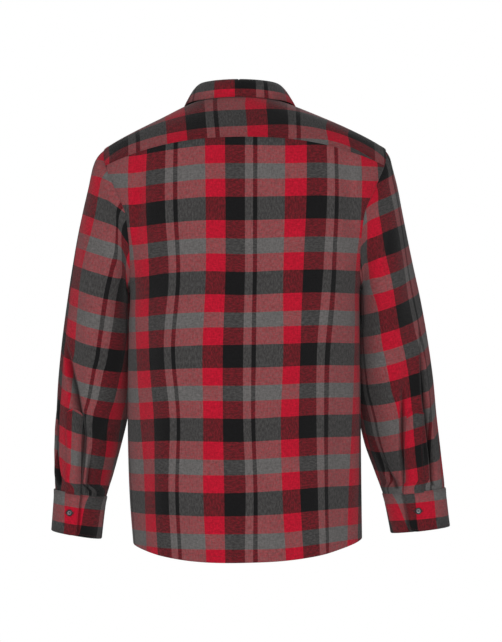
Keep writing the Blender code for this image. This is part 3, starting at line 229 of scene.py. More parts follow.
# ---- front opening, collar, cuffs and plackets ----
FRONT_OVERLAP = 0.0170
FRONT_UNDER_STEP = 0.0030
FRONT_UNDER_MARGIN = 0.004
FRONT_UNDER_REACH = 0.034
FRONT_OPENING_SHARE = 0.80
OPENING_CROWDING = 0.38
BACK_EVEN_SHARE = 0.35
YOKE_CORNER_SHARE = 0.62
PLACKET_WIDTH = 0.034
PLACKET_GAP = 0.0005
STAND_HEIGHT_BACK = 0.0225
STAND_HEIGHT_FRONT = 0.024
STAND_CLEAR = 0.0020
STAND_LEAN = 0.0060
STAND_LEAN_LOST = 0.75
STAND_FRONT = (0.2, 1.2)
STAND_OVERLAP = 0.017
STAND_STEP = 0.0016
STAND_LAP_SHARE = 0.10
STAND_EASE_SHARE = 0.20
NECK_RADIUS = 0.066
CUFF_OVERLAP_DEGREES = 40.0
CUFF_STEP = 0.0015
CUFF_LAP_SHARE = 0.13
CUFF_EASE_SHARE = 0.22
CUFF_GIRTH = 0.250
CUFF_LENGTH = 0.065
CUFF_CORNER = 0.011
CUFF_EDGE = {LEFT: 88.0, RIGHT: 69.0}
SLEEVE_PLACKET_TURN = 0.066
SLEEVE_PLACKET_TAPER = 0.012
SLEEVE_PLACKET_DRIFT = {LEFT: 0.036, RIGHT: 0.062}
SLEEVE_PLACKET_EXTRA = 0.0008
SLEEVE_PLACKET_TOP = 9.8
SLEEVE_PLACKET_POINT = 0.38
SLEEVE_PLACKET_POINT_ROWS = 8

# ---- collar's fall: its roll, and its lower edge from the middle back to the point in front ----
# share of the way round; degrees behind (-) or before the side; torso level; clear of the cloth
FALL_ROLL_UP = 0.0042
FALL_UPWARD = 0.8
FALL_KNEE_UP = 1.15
FALL_KNEE_OUT = 0.0140
FALL_ROLL = (0.0, 0.07, 0.16, 0.30, 0.50, 0.75, 1.0)
FALL_FRONT_ANGLE = 84.0
FALL = np.array((
    (0, -90, 14.5, 0.0034), (0.25, -50, 14.42, 0.0034), (0.5, -5, 14.35, 0.004),
    (0.7, 50, 13.1, 0.005), (0.86, 70, 11.6, 0.0056), (1, 76, 10.2, 0.006),
))

# ---- shade inside the sleeves, next to the body, and beside a cuff's lapped end ----
INNER_SHADE = 0.34
INNER_SHADE_END = 88.0
INNER_SHADE_SHIFT = 30.0
INNER_SHADE_FADE = 48.0
INNER_SHADE_ROWS = (1.0, 2.0)
LAP_SHADE = 0.8
LAP_SHADE_REACH = 3.0

# ---- how finely each cloth shell is divided ----
SIDE_STEPS = 96
ARMHOLE_BACK_STEPS = 54
YOKE_BACK_STEPS = 26
YOKE_FRONT_STEPS = 16
ARMHOLE_FRONT_STEPS = 62
BACK_HALF_COLUMNS = 66
FRONT_COLUMNS = 58
YOKE_ROWS = 30
SLEEVE_ROWS = 170
SLEEVE_FINENESS = 2
CUFF_COLUMNS = 120
CUFF_ROWS = 22
CUFF_END_SHARE = 0.05
CUFF_END_COLUMNS = 14
STAND_COLUMNS = 120
STAND_ROWS = 8
FALL_COLUMNS = 181
FALL_ROWS = 27
PLACKET_COLUMNS = 12
SLEEVE_PLACKET_COLUMNS = 8
SLEEVE_PLACKET_ROWS = 60

# ---- how the pieces lap at their seams ----
LAP_RISE = 0.0006
LAP_REACH = 0.0010
LAP_EASE = 0.007
TUCK_SINK = 0.0008
TUCK_REACH = 0.0020
SEAM_SPREAD = 0.005

# ---- grain of the yarns, cloth and buttons, in cells to a metre, and counts ----
YARN_WANDER_SCALE = 900.0
RIB_WANDER_SCALE, RIB_WANDER = 260.0, 0.0011
YARNS_PER_RIB = 1.6
PUCKER_SCALE = 120.0
SOFT_WAVE_SCALE = 14.0
BUTTON_CLOUD_SCALE, BUTTON_MARK_SCALE = 420.0, 1800.0
BUTTONHOLE_POINTS = 9
HOLE_SIDES = 14

# ---- the plaid: bands in order along each way, in metres of flat cloth ----
WARP_BANDS = (("red", 0.0320), ("black", 0.0325), ("grey", 0.0135), ("black", 0.0070),
              ("grey", 0.0450))
WEFT_BANDS = (("black", 0.0372), ("red", 0.0289), ("grey", 0.0247), ("red", 0.0289))
YARNS = ("red", "black", "grey")

# ---- where the plaid starts on each piece: across the warp, and down the weft ----
BACK_WARP_START = -0.0632
BODY_WEFT_START = 0.1533
YOKE_WARP_START = 0.0045
YOKE_WEFT_START = -0.0372 - 0.0228
YOKE_WEFT_STRETCH = 1.245
YOKE_SPREAD = 0.08
YOKE_SPREAD_END = 1.5
YOKE_SAMPLES = 61
YOKE_DEPTH = 0.080
YOKE_OVER = 0.10
YOKE_OVER_ANGLES = (60.0, 120.0)
FALL_WARP_START = -0.0390
FALL_WARP_SHARE = 0.927
FALL_WEFT_START = -0.0497
FRONT_WARP_START = 0.0160
FRONT_RING_END = 120.0
FRONT_RING_POINTS = 241
FRONT_TURN_ANGLE = 12.0
FRONT_TURN_REACH = 28.0
CUFF_STARTS = {LEFT: (-0.026, -0.0700), RIGHT: (-0.050, -0.0750)}
CUFF_FRONT_EASE = {LEFT: 0.004, RIGHT: -0.032}
CUFF_FRONT_SHARES = (0.25, 0.45)
SLEEVE_PLACKET_EASE = {LEFT: 0.010, RIGHT: 0.0}
WARP_EVENING_ROWS = 12

# ---- how far the plaid is eased over each piece, in millimetres: rows from its top down ----
# the back's and the yoke's columns run from the left side to the right; a sleeve's from its inner
# line, by way of its back, to its outer line and its front
MILLIMETRE = 0.001
BACK_EASE_REACH = (-0.192, 0.192)
BACK_EASE_HEIGHTS = (0.060, 0.744)
BACK_ACROSS_EASE = np.array((
    (1.5, 1.5, 1.5, 1.5, 1.5, -3, 2.2), (7.5, 3, 0, 1.5, 2.2, -3, -5.2),
    (10.5, -1.5, 0, 1.5, 4.5, 3, -9.8), (0, 4.5, 3.8, 3, 3, 12, -7.5),
    (-9, -7.5, 3, 3, 7.5, 13.5, 0.8), (-18, -3, 4.6, 0.7, 6.8, 13.5, 12.1),
    (-15.7, -3, 3.7, 6, 4.5, 13.5, 21.1),
))
BACK_DOWN_EASE = np.array((
    (-15, -6, 1.5, 2.3, 1.5, 3, -3), (-10.5, -4.5, 0, 0, 1.5, 3, 1.5),
    (-9, -3, 0, -1.5, 1.5, 3, 1.5), (-6.8, -3, 0, 0.7, 2.3, 4.4, 3),
    (-3, 1.5, 1.5, 0.7, 3.8, 6.8, 6), (0, 1.5, 0, 0.8, 4.5, 9, 9), (2.3, 0, 0, 0, 1.5, 8.3, 12.7),
))
YOKE_EASE_REACH = (-0.225, 0.225)
YOKE_EASE_RISES = (0.0, 0.12)
YOKE_ACROSS_EASE = np.array((
    (-3, 0, 0, 0, -1, -2, -13), (-10, -4, 0, 2, 2, 8, -6), (-15, -6, -1, 4, 6, 8, 5),
    (-13, -4, -1, 1, 6, 9, 13),
))
YOKE_DOWN_EASE = np.array((
    (9, -2, -4, -2, 6, 18, 19), (8, 0, 0, 0, 8, 10, 13), (3, 2, 5, 4, 12, 14, 14),
    (-3, 2, 10, 14, 13, 15, 16),
))
SLEEVE_EASE_TURNS = (0.0, 0.5, 0.62)
SLEEVE_ACROSS_EASE = {LEFT: np.array((
    (117.4, 100.3, 77.9, 64.5, 46.1, 23.2), (108, 88.3, 76.2, 69.4, 50.7, 34.5),
    (101.1, 82.1, 77.8, 58.5, 53.5, 48.6), (80.7, 70.9, 64.9, 62.1, 64.4, 65.3),
    (47.3, 53.9, 62.3, 78.1, 79.9, 83.2), (37, 48.3, 64.2, 84.8, 89.9, 102),
    (14.8, 33.6, 57.1, 75.3, 97.6, 123.1),
)), RIGHT: np.array((
    (149, 136.3, 125.5, 116.9, 115, 114.5), (140.2, 141.3, 131, 131.1, 130.9, 133.4),
    (125.6, 140, 132.3, 131.4, 142.5, 151.6), (110.8, 125.2, 130.5, 140.7, 155.8, 169.9),
    (86.8, 117.4, 118.5, 132.7, 161.4, 185.9), (65.7, 108.7, 123.5, 140.6, 167, 197.2),
    (46.6, 88.4, 127.8, 152.8, 177, 206.4),
))}
SLEEVE_DOWN_EASE = {LEFT: np.array((
    (63.2, 68.5, 55.4, 39.8, 22.7, 5.3), (40.7, 41, 37.3, 37.7, 31.1, 20.9),
    (30.6, 39.5, 43.3, 40.5, 38.2, 33.5), (27, 35.6, 39.8, 37.3, 42.3, 45.2),
    (20.7, 19.7, 26.8, 42, 47.4, 57.4), (12.4, 13.2, 28.4, 43.8, 57.7, 72.5),
    (15.9, 20.5, 23.4, 50.3, 70.4, 89),
)), RIGHT: np.array((
    (11.3, -0.8, -10.4, -18, -25.2, -33.7), (-9.9, -16.1, -14.1, -10.4, -16.7, -24.5),
    (-21.9, -13.1, -7.3, -8.5, -11.7, -16.4), (-28.3, -15.2, -8.2, -9.2, -8.6, -7.1),
    (-26.8, -32.9, -24.7, -13.6, -6.9, 0.5), (-21.2, -35.3, -25.7, -14.7, -5.2, 5.8),
    (-24.7, -25.8, -25.9, -22, -7.2, 10.1),
))}

# ---- stitch lines: distance in from the edge that each follows ----
EDGE_TOPSTITCH = 0.0060
HEM_STITCH = 0.0100
YOKE_STITCH = 0.0016
PLACKET_STITCH = 0.0060
CUFF_TOP_STITCH = 0.0020
CUFF_EDGE_STITCH = 0.0030
STAND_STITCH = 0.0016
FALL_STITCH = 0.0060
STITCH_PITCH = 0.0032
STITCH_LENGTH = 0.0025
THREAD = 0.00042


# ---- working out points ----
def spline(values, position):
    """Smooth value of one column of a table at a fractional row."""
    position = np.clip(np.asarray(position, dtype=float), 0.0, len(values) - 1.0)
    base = np.minimum(position.astype(int), len(values) - 2)
    part = position - base
    before, start, end, after = (
        values[np.clip(base + step, 0, len(values) - 1)] for step in (-1, 0, 1, 2))
    slope_in = (end - before) / 2.0
    slope_out = (after - start) / 2.0
    cube, square = part ** 3, part ** 2
    return (start * (2.0 * cube - 3.0 * square + 1.0) + slope_in * (cube - 2.0 * square + part)
            + end * (3.0 * square - 2.0 * cube) + slope_out * (cube - square))


def stacked(*parts):
    return np.stack(parts, axis=-1)


def read(table, position):
    """Smooth values of all the columns of a table at a fractional row."""
    return [spline(column, position) for column in table.T]


def smooth_step(value):
    clipped = np.clip(value, 0.0, 1.0)
    return clipped * clipped * (3.0 - 2.0 * clipped)


def unit(vectors):
    length = np.linalg.norm(vectors, axis=-1, keepdims=True)
    return vectors / np.maximum(length, 1e-12)


def mirrored(side, vectors):
    """The same directions on the left or the right side."""
    flipped = vectors.copy()
    flipped[..., 0] *= side
    return flipped


def bare_torso(angle, level):
    """Right half of the torso without folds: degrees from the side, minus towards the back."""
    angle = np.radians(np.asarray(angle, dtype=float))
    (width, back, front, z_side, z_back, z_front,
     square_back, square_front, drop) = read(TORSO[:, :SHAPE_COLUMNS], level)
    square = np.where(np.sin(angle) > 0.0, square_front, square_back)
    reach = (np.abs(np.cos(angle)) ** square + np.abs(np.sin(angle)) ** square) ** (-1.0 / square)
    across = np.cos(angle) * reach
    along = np.sin(angle) * reach
    z_middle = np.where(along > 0.0, z_front, z_back)
    depth = np.where(along > 0.0, front, back)
    z = z_middle + (z_side - z_middle) * np.abs(across) ** drop
    return stacked(width * across, depth * along, z)


def torso_normal(angle, level):
    """Outward direction on the right half of the torso."""
    turn = bare_torso(angle + ANGLE_STEP, level) - bare_torso(angle - ANGLE_STEP, level)
    rise = bare_torso(angle, np.minimum(level + LEVEL_STEP, NECK_LEVEL))
    rise = rise - bare_torso(angle, np.maximum(level - LEVEL_STEP, 0.0))
    return unit(np.cross(turn, rise))


def body_fold(points):
    """How far the body's folds move a point out along its normal."""
    total = np.zeros(points.shape[:-1])
    for x, z, half_width, half_height, lean, height, face in BODY_FOLDS:
        off_side = (points[..., 0] - x - lean * (points[..., 2] - z)) / half_width
        off_height = (points[..., 2] - z) / half_height
        facing = smooth_step(points[..., 1] * face / FACE_FADE)
        total += height * facing * np.exp(-off_side ** 2 - off_height ** 2)
    return total


def torso(side, angle, level):
    """A point of the cloth's middle on one side of the torso."""
    points = bare_torso(angle, level)
    points[..., 0] *= side
    points[..., 0] += spline(TORSO[:, SHIFT], level)
    points[..., 2] += spline(TORSO[:, LEAN], level) * points[..., 0]
    return points + mirrored(side, torso_normal(angle, level)) * body_fold(points)[..., None]


def armhole_place(turn):
    """Torso angle and level at a share round the armhole: 0 underarm, 0.5 top, back first."""
    turn = np.asarray(turn, dtype=float)
    behind = turn <= 0.5
    row = np.where(behind, turn, 1.0 - turn) * 2.0 * ARMHOLE_TOP
    back_level, back_angle, front_level, front_angle = read(ARMHOLE, row)
    return np.where(behind, -back_angle, front_angle), np.where(behind, back_level, front_level)


def armhole_turns():
    """Shares round the armhole where the back, the yoke's two parts and the front have points."""
    back_end = YOKE_BACK_ROW / ARMHOLE_TOP / 2.0
    ends = (0.0, back_end, 0.5, 1.0 - YOKE_FRONT_ROW / ARMHOLE_TOP / 2.0, 1.0)
    counts = (ARMHOLE_BACK_STEPS, YOKE_BACK_STEPS, YOKE_FRONT_STEPS, ARMHOLE_FRONT_STEPS)
    return [np.linspace(start, end, count + 1) for start, end, count in zip(ends, ends[1:], counts)]


def armhole_phase(turn):
    """Radians round the sleeve: 0 inner side, half a circle at the outer side."""
    samples = np.linspace(0.0, 1.0, ARMHOLE_SAMPLES)
    length = run_length(bare_torso(*armhole_place(samples)), 0)
    half = length[ARMHOLE_SAMPLES // 2]
    phase = np.where(samples <= 0.5, length / half, 1.0 + (length - half) / (length[-1] - half))
    return np.pi * np.interp(turn, samples, phase)


def sleeve_frame(side, row):
    """Inner point, outer point, half depth and middle of a sleeve ring on the right side."""
    outer_x, outer_z, inner_x, inner_z, depth, ahead = read(SLEEVES[side], row)
    zero = np.zeros_like(inner_x)
    return stacked(inner_x, zero, inner_z), stacked(outer_x, zero, outer_z), depth, ahead


def ring_outward(inner, outer):
    """Direction at right angles to a ring's plane, towards the wrist."""
    run = unit(outer - inner)
    return stacked(run[..., 2], np.zeros_like(run[..., 0]), -run[..., 0])


def bare_sleeve(side, turn, row):
    """Right-hand version of a sleeve point without folds."""
    start = bare_torso(*armhole_place(turn % 1.0))
    first_inner, first_outer, _, _ = sleeve_frame(side, np.zeros_like(turn))
    run = first_outer - first_inner
    share = np.sum((start - first_inner) * run, axis=-1) / np.sum(run * run, axis=-1)
    bulge = np.sum((start - first_inner) * ring_outward(first_inner, first_outer), axis=-1)
    inner, outer, depth, ahead = sleeve_frame(side, row)
    blend = smooth_step(row / SLEEVE_BLEND_ROWS)
    phase = armhole_phase(turn % 1.0)
    share = share + ((1.0 - np.cos(phase)) / 2.0 - share) * blend
    along = start[..., 1] + (ahead - depth * np.sin(phase) - start[..., 1]) * blend
    points = inner + (outer - inner) * share[..., None]
    points = points + ring_outward(inner, outer) * (bulge * (1.0 - blend))[..., None]
    points[..., 1] = along
    return points


def sleeve_pleats(side, degrees, row):
    """Depth of the sleeve's pleats at each point, and how deep in a pleat it lies, from 0 to 1: the
    mask for the shade painted into the pleats' troughs.
    """
    depth = np.zeros(np.broadcast(degrees, row).shape)
    inside = 0.0 * depth
    for pleat in SLEEVE_PLEATS[side]:
        at_rows, at_turns, half_widths, depths = np.array(pleat).T
        middle = np.interp(row, at_rows, at_turns)
        deep = np.interp(row, at_rows, depths, left=0.0, right=0.0)
        off = (degrees - middle) / np.interp(row, at_rows, half_widths)
        lips = np.exp(-(off - PLEAT_LIP_PLACE) ** 2) + np.exp(-(off + PLEAT_LIP_PLACE) ** 2)
        depth = depth + deep * (np.exp(-off ** 2) - PLEAT_LIP * lips)
        full = np.clip(deep / PLEAT_FULL_DEPTH, 0.0, 1.0)
        # painted shade mask: full in the middle of a deep pleat
        inside = np.maximum(inside, full * np.exp(-PLEAT_CORE * off ** 2))
    return depth, inside


def sleeve_fold(side, turn, row):
    """How far the sleeve's folds move a point out."""
    degrees = np.degrees(armhole_phase(turn % 1.0))
    total = np.zeros(np.broadcast(turn, row).shape)
    for at_row, at_turn, rows, turns, lean, height in SLEEVE_FOLDS[side]:
        off_row = (row - at_row) / rows
        off_turn = (degrees - at_turn - lean * (row - at_row)) / turns
        total = total + height * np.exp(-off_row ** 2 - off_turn ** 2)
    fade_in = smooth_step((row - FOLDS_START[0]) / FOLDS_START[1])
    fade_out = smooth_step((CUFF_SEAM_ROW - FOLDS_END[0] - row) / FOLDS_END[1])
    return (total - sleeve_pleats(side, degrees, row)[0]) * fade_in * fade_out


def bare_sleeve_normal(side, turn, row):
    """Outward direction on the right-hand version of a sleeve."""
    around = bare_sleeve(side, turn + TURN_STEP, row) - bare_sleeve(side, turn - TURN_STEP, row)
    down = bare_sleeve(side, turn, np.minimum(row + ROW_STEP, CUFF_END_ROW))
    down = down - bare_sleeve(side, turn, np.maximum(row - ROW_STEP, 0.0))
    return unit(np.cross(down, around))


def sleeve_normal(side, turn, row):
    return mirrored(side, bare_sleeve_normal(side, turn, row))


def sleeve(side, turn, row, out=0.0):
    """A point of the cloth's middle on a sleeve, moved out along its normal."""
    turn = turn % 1.0
    points = bare_sleeve(side, turn, row)
    normal = bare_sleeve_normal(side, turn, row)
    return mirrored(side, points + normal * (sleeve_fold(side, turn, row) + out)[..., None])


def armhole_normal(side, turn):
    """Shared direction of the two walls' ends along the armhole seam."""
    body = torso_normal(*armhole_place(turn % 1.0))
    return mirrored(side, unit(body + bare_sleeve_normal(side, turn, np.zeros_like(turn))))


def turn_at(degrees):
    """Share round the sleeve at an angle round it."""
    samples = np.linspace(0.0, 1.0, TURN_SAMPLES)
    return np.interp(np.asarray(degrees) % 360.0, np.degrees(armhole_phase(samples)), samples)


def run_length(points, axis):
    """Length along each line of a grid, from its start."""
    steps = np.linalg.norm(np.diff(points, axis=axis), axis=-1)
    zero = np.zeros_like(np.take(steps, [0], axis=axis))
    return np.concatenate([zero, np.cumsum(steps, axis=axis)], axis=axis)


def flattened(steps, normal):
    """The part of some steps that lies in the cloth."""
    return steps - normal * np.sum(steps * normal, axis=-1, keepdims=True)


# ---- the four edges of a grid of points: its axis, and whether it is the last line along it ----
LOW, TOP, START, END = (0, False), (0, True), (1, False), (1, True)


def from_edge(points, edge):
    """Distance of each point from one edge of its grid."""
    axis, last = edge
    length = run_length(points, axis)
    return np.take(length, [-1], axis=axis) - length if last else length


def outward_at(points, normal, edge):
    """Unit step out of the grid at one edge, and nothing anywhere else."""
    axis, last = edge
    border, inside = (-1, -2) if last else (0, 1)
    move = np.zeros_like(points)
    if axis:
        border, inside = (slice(None), border), (slice(None), inside)
    move[border] = unit(flattened(points[border] - points[inside], normal[border]))
    return move


def lap_over(points, normal, distance, edge_move):
    """Raises and carries out a panel's edge where it laps over its neighbour."""
    near = np.exp(-(distance / LAP_EASE) ** 2)[..., None]
    return points + normal * LAP_RISE * near + edge_move * LAP_REACH


def tuck_under(points, normal, distance, edge_move):
    """Sinks and carries on a panel's edge where it runs under its neighbour."""
    near = np.exp(-(distance / LAP_EASE) ** 2)[..., None]
    return points - normal * TUCK_SINK * near + edge_move * TUCK_REACH


def at_distance(points, layers, distance):
    """Values of a grid's layers at set distances along each of its rows."""
    lengths = [run_length(row, 0) for row in points]
    return [np.array([stacked(*(np.interp(distance, length, column) for column in row.T))
                      for row, length in zip(layer, lengths)]) for layer in layers]


def line_at(points, normal, edge, distance, rise):
    """Line that follows one edge of a grid at a set distance inside it, raised off the cloth."""
    axis, last = edge
    if axis == 0:
        points, normal = np.swapaxes(points, 0, 1), np.swapaxes(normal, 0, 1)
    if last:
        points, normal = points[:, ::-1], normal[:, ::-1]
    places, facing = at_distance(points, (points, normal), distance)
    facing = unit(facing)
    return places + facing * rise, facing


# ---- making the cloth shells ----
def grid_quads(rows, columns, closed):
    """Corner numbers of a grid's quads, in its points and in its flat cut."""
    row = np.arange(rows - 1)[:, None]
    column = np.arange(columns if closed else columns - 1)[None, :]
    beside = (column + 1) % columns
    places = stacked(row * columns + column, row * columns + beside,
                     (row + 1) * columns + beside, (row + 1) * columns + column)
    wide = columns + 1 if closed else columns
    cuts = stacked(row * wide + column, row * wide + column + 1,
                   (row + 1) * wide + column + 1, (row + 1) * wide + column)
    return places.reshape(-1, 4), cuts.reshape(-1, 4)


def edge_loops(rows, columns, closed):
    """Loops round a grid: (points, the points inside them, their places in the flat cut)."""
    if closed:
        across = np.arange(columns + 1)
        first = across % columns
        last = (rows - 1) * columns + first
        return [(first, columns + first, across),
                (last, last - columns, (rows - 1) * (columns + 1) + across)]
    across, along = np.arange(columns), np.arange(rows)
    points = np.concatenate([across[:-1], along[:-1] * columns + columns - 1,
                             (rows - 1) * columns + across[:0:-1], along[:0:-1] * columns, [0]])
    row, column = points // columns, points % columns
    inside = np.clip(row, 1, rows - 2) * columns + np.clip(column, 1, columns - 2)
    return [(points, inside, points)]


def shell_volume(verts, faces):
    """Signed volume of a closed mesh of quads."""
    a, b, c, d = (verts[faces[:, corner]] for corner in range(4))
    return (np.sum(a * np.cross(b, c)) + np.sum(a * np.cross(c, d))) / 6.0


def add_object(name, data, material=None):
    """An object in the scene, smooth all over when it is given its material."""
    if material is not None:
        data.materials.append(material)
        data.polygons.foreach_set("use_smooth", [True] * len(data.polygons))
    made = bpy.data.objects.new(name, data)
    bpy.context.scene.collection.objects.link(made)
    return made


def keep_values(mesh, name, values, kind="FLOAT", part="value"):
    """Values kept at a mesh's points, for its materials and stitches."""
    kept = mesh.attributes.new(name, kind, "POINT").data
    kept.foreach_set(part, np.ascontiguousarray(values).reshape(-1))


def cloth_shell(name, middle, normal, thickness, cut, marks, material, closed):
    """A thin closed shell of cloth with rounded edges, from a grid of its middle points."""
    rows, columns = middle.shape[:2]
    half = thickness / 2.0
    flat_middle, flat_normal = middle.reshape(-1, 3), normal.reshape(-1, 3)
    total = rows * columns
    places, cuts = grid_quads(rows, columns, closed)
    faces = [places, places[:, ::-1] + total]
    face_cuts = [cuts, cuts[:, ::-1]]
    verts = [(middle + normal * half).reshape(-1, 3), (middle - normal * half).reshape(-1, 3)]
    mask = stacked(*marks).reshape(-1, len(marks))
    masks = [mask, mask]
    used = 2 * total
    for number_of_loop, (points, inside, spots) in enumerate(edge_loops(rows, columns, closed)):
        out = flattened(flat_middle[points] - flat_middle[inside], flat_normal[points])
        rim = flat_middle[points[:-1]] + unit(out[:-1]) * half
        number = used + np.arange(len(rim))
        beside = used + (np.arange(len(rim)) + 1) % len(rim)
        start, end = points[:-1], points[1:]
        way = -1 if number_of_loop else 1
        faces.append(stacked(end, start, number, beside)[:, ::way])
        faces.append(stacked(beside, number, start + total, end + total)[:, ::way])
        face_cuts += [stacked(spots[1:], spots[:-1], spots[:-1], spots[1:])[:, ::way]] * 2
        verts.append(rim)
        masks.append(mask[start])
        used += len(rim)
    verts, faces = np.concatenate(verts), np.concatenate(faces)
    corner_cuts = cut.reshape(-1, 2)[np.concatenate(face_cuts)]
    if shell_volume(verts, faces) < 0.0:
        faces, corner_cuts = faces[:, ::-1], corner_cuts[:, ::-1]
    mesh = bpy.data.meshes.new(name)
    mesh.from_pydata(verts.tolist(), [], faces.tolist())
    mesh.update()
    flat_cut = mesh.uv_layers.new(name="cut").data
    flat_cut.foreach_set("uv", np.ascontiguousarray(corner_cuts).reshape(-1))
    for kind, values in zip(("seam", "painted_shade"), np.concatenate(masks).T):
        keep_values(mesh, kind, values)
    return add_object(name, mesh, material)


def make_piece(name, points, normal, cut, cloth, seams, moves=(), sewn=(), closed=False,
               painted_shade_mask=None):
    """A piece's shell, its edges moved at its seams, and the lines that its stitches follow."""
    thickness, finish = cloth
    nearest = np.minimum.reduce([from_edge(points, edge) for edge in seams])
    seam = np.exp(-(nearest / SEAM_SPREAD) ** 2)
    moved = points
    for change, edge in moves:
        moved = change(moved, normal, from_edge(points, edge), outward_at(points, normal, edge))
    # the second mark is painted shade: how far the cloth's colour is darkened at each point
    marks = (seam, 0.0 * seam if painted_shade_mask is None else painted_shade_mask)
    piece = cloth_shell(name, moved, normal, thickness, cut, marks, cloth_material(finish), closed)
    rise = thickness / 2.0
    return piece, [line_at(moved, normal, edge, distance, rise) for edge, distance in sewn]


def joined(left, right):
    """A left half, from its middle out, and a right half as one grid."""
    return np.concatenate([left[:, :0:-1], right], axis=1)


def from_column(values, column):
    """Values counted from a line down the middle of a grid."""
    return values - values[:, column:column + 1]


def side_edge(turns):
    """Angle and level of a panel's outer edge: up the side seam and round the armhole."""
    angle, level = armhole_place(turns)
    side_levels = np.linspace(0.0, UNDERARM_LEVEL, SIDE_STEPS + 1)[:-1]
    return np.concatenate([np.zeros(SIDE_STEPS), angle]), np.concatenate([side_levels, level])


# ---- back and yoke ----
def half_back(side):
    """Points and normals from the middle back to the side seam and the armhole."""
    turns = armhole_turns()[0]
    edge_angle, edge_level = side_edge(turns)
    rise = np.linspace(0.0, YOKE_LEVEL, len(edge_level))
    middle_level = edge_level + (rise - edge_level) * BACK_EVEN_SHARE
    share = np.linspace(0.0, 1.0, BACK_HALF_COLUMNS + 1)
    angle = -90.0 + (edge_angle[:, None] + 90.0) * share[None, :]
    weight = share[None, :] ** 2
    level = middle_level[:, None] * (1.0 - weight) + edge_level[:, None] * weight
    normal = mirrored(side, torso_normal(angle, level))
    normal[SIDE_STEPS:, -1] = armhole_normal(side, turns)
    return torso(side, angle, level), normal


def ease(table, down, across):
    """Smooth value between a table's rows and columns, in metres from its millimetres."""
    values = stacked(*read(table, down))
    columns = values.shape[-1]
    across = np.clip(across, 0.0, columns - 1.0)
    base = np.minimum(across.astype(int), columns - 2)
    part = across - base
    before, start, end, after = (
        np.take_along_axis(values, np.clip(base + step, 0, columns - 1)[..., None], axis=-1)[..., 0]
        for step in (-1, 0, 1, 2))
    curve = (2.0 * start + (end - before) * part
             + (2.0 * before - 5.0 * start + 4.0 * end - after) * part ** 2
             + (3.0 * start - 3.0 * end + after - before) * part ** 3)
    return curve * 0.5 * MILLIMETRE


def place_in(table, down, down_reach, across, across_reach):
    """Fractional row and column of an easing table at a place on its piece."""
    rows, columns = table.shape
    return (np.interp(down, down_reach, (0.0, rows - 1.0)),
            np.interp(across, across_reach, (0.0, columns - 1.0)))


def back_cut(points):
    """Flat cut of the back: across from its middle line, and down from the origin's height."""
    across = from_column(run_length(points, 1), points.shape[1] // 2)
    down = -points[..., 2]
    place = place_in(BACK_ACROSS_EASE, down, BACK_EASE_HEIGHTS, across, BACK_EASE_REACH)
    return stacked(across + ease(BACK_ACROSS_EASE, *place) - BACK_WARP_START,
                   down + ease(BACK_DOWN_EASE, *place) - BODY_WEFT_START)


def back_side(points, normal, distance, edge_move):
    """The back tucks under the fronts at the side seams and laps over the sleeves above them."""
    above = (np.arange(len(points)) >= SIDE_STEPS)[:, None, None]
    return np.where(above, lap_over(points, normal, distance, edge_move),
                    tuck_under(points, normal, distance, edge_move))


def dress_back():
    points, normal = (joined(*parts) for parts in zip(half_back(LEFT), half_back(RIGHT)))
    piece, (hem, *sides) = make_piece(
        "back_cloth", points, normal, back_cut(points), BODY_CLOTH, (TOP, START, END),
        ((tuck_under, TOP), (back_side, START), (back_side, END)),
        ((LOW, HEM_STITCH), (START, EDGE_TOPSTITCH), (END, EDGE_TOPSTITCH)))
    return piece, [hem] + [(line[SIDE_STEPS:], facing[SIDE_STEPS:]) for line, facing in sides]


def half_yoke(side):
    """Points, normals, angles and levels of half the yoke from its middle back, seam to neck."""
    _, yoke_back, yoke_front, _ = armhole_turns()
    back_share = np.linspace(0.0, 1.0, BACK_HALF_COLUMNS + 1)
    seam_angle = -90.0 + (armhole_place(yoke_back[:1])[0][0] + 90.0) * back_share
    arm_turns = np.concatenate([yoke_back[1:], yoke_front[1:]])
    arm_angle, arm_level = armhole_place(arm_turns)
    outer_angle = np.concatenate([seam_angle, arm_angle])
    outer_level = np.concatenate([np.full(len(seam_angle), YOKE_LEVEL), arm_level])
    arm_share = np.linspace(0.0, 1.0, len(arm_turns) + 1)[1:]
    neck_share = np.concatenate([YOKE_CORNER_SHARE * back_share,
                                 YOKE_CORNER_SHARE + (1.0 - YOKE_CORNER_SHARE) * arm_share])
    neck_angle = -90.0 + (90.0 + YOKE_NECK_ANGLE) * neck_share
    rise = np.linspace(0.0, 1.0, YOKE_ROWS + 1)[:, None]
    angle = outer_angle[None, :] + (neck_angle - outer_angle)[None, :] * rise
    level = outer_level[None, :] + (NECK_LEVEL - outer_level)[None, :] * rise
    normal = mirrored(side, torso_normal(angle, level))
    normal[0, BACK_HALF_COLUMNS:] = armhole_normal(side, np.concatenate([yoke_back[:1], arm_turns]))
    return torso(side, angle, level), normal, angle, level


def yoke_rise(angle, level):
    """Flat distance up from the yoke's back seam, over the shoulder and down to its front seam."""
    samples = np.linspace(YOKE_LEVEL, NECK_LEVEL, YOKE_SAMPLES)
    middle = bare_torso(np.full(len(samples), -90.0), samples)
    up = np.interp(level, samples, run_length(middle, 0))
    start, reach = YOKE_OVER_ANGLES
    over = smooth_step((angle + start) / reach) * (NECK_LEVEL - level) / (NECK_LEVEL - YOKE_LEVEL)
    return (up + over * YOKE_OVER) * YOKE_WEFT_STRETCH


def yoke_cut(points, angle, level):
    """Flat cut of the yoke: across from the middle, and up from its seam over the shoulder."""
    up = yoke_rise(angle, level)
    across = points[..., 0] * (1.0 - YOKE_SPREAD * np.clip(up / YOKE_DEPTH, 0.0, YOKE_SPREAD_END))
    place = place_in(YOKE_ACROSS_EASE, up, YOKE_EASE_RISES, points[..., 0], YOKE_EASE_REACH)
    return stacked(across + ease(YOKE_ACROSS_EASE, *place) - YOKE_WARP_START,
                   ease(YOKE_DOWN_EASE, *place) - up - YOKE_WEFT_START)


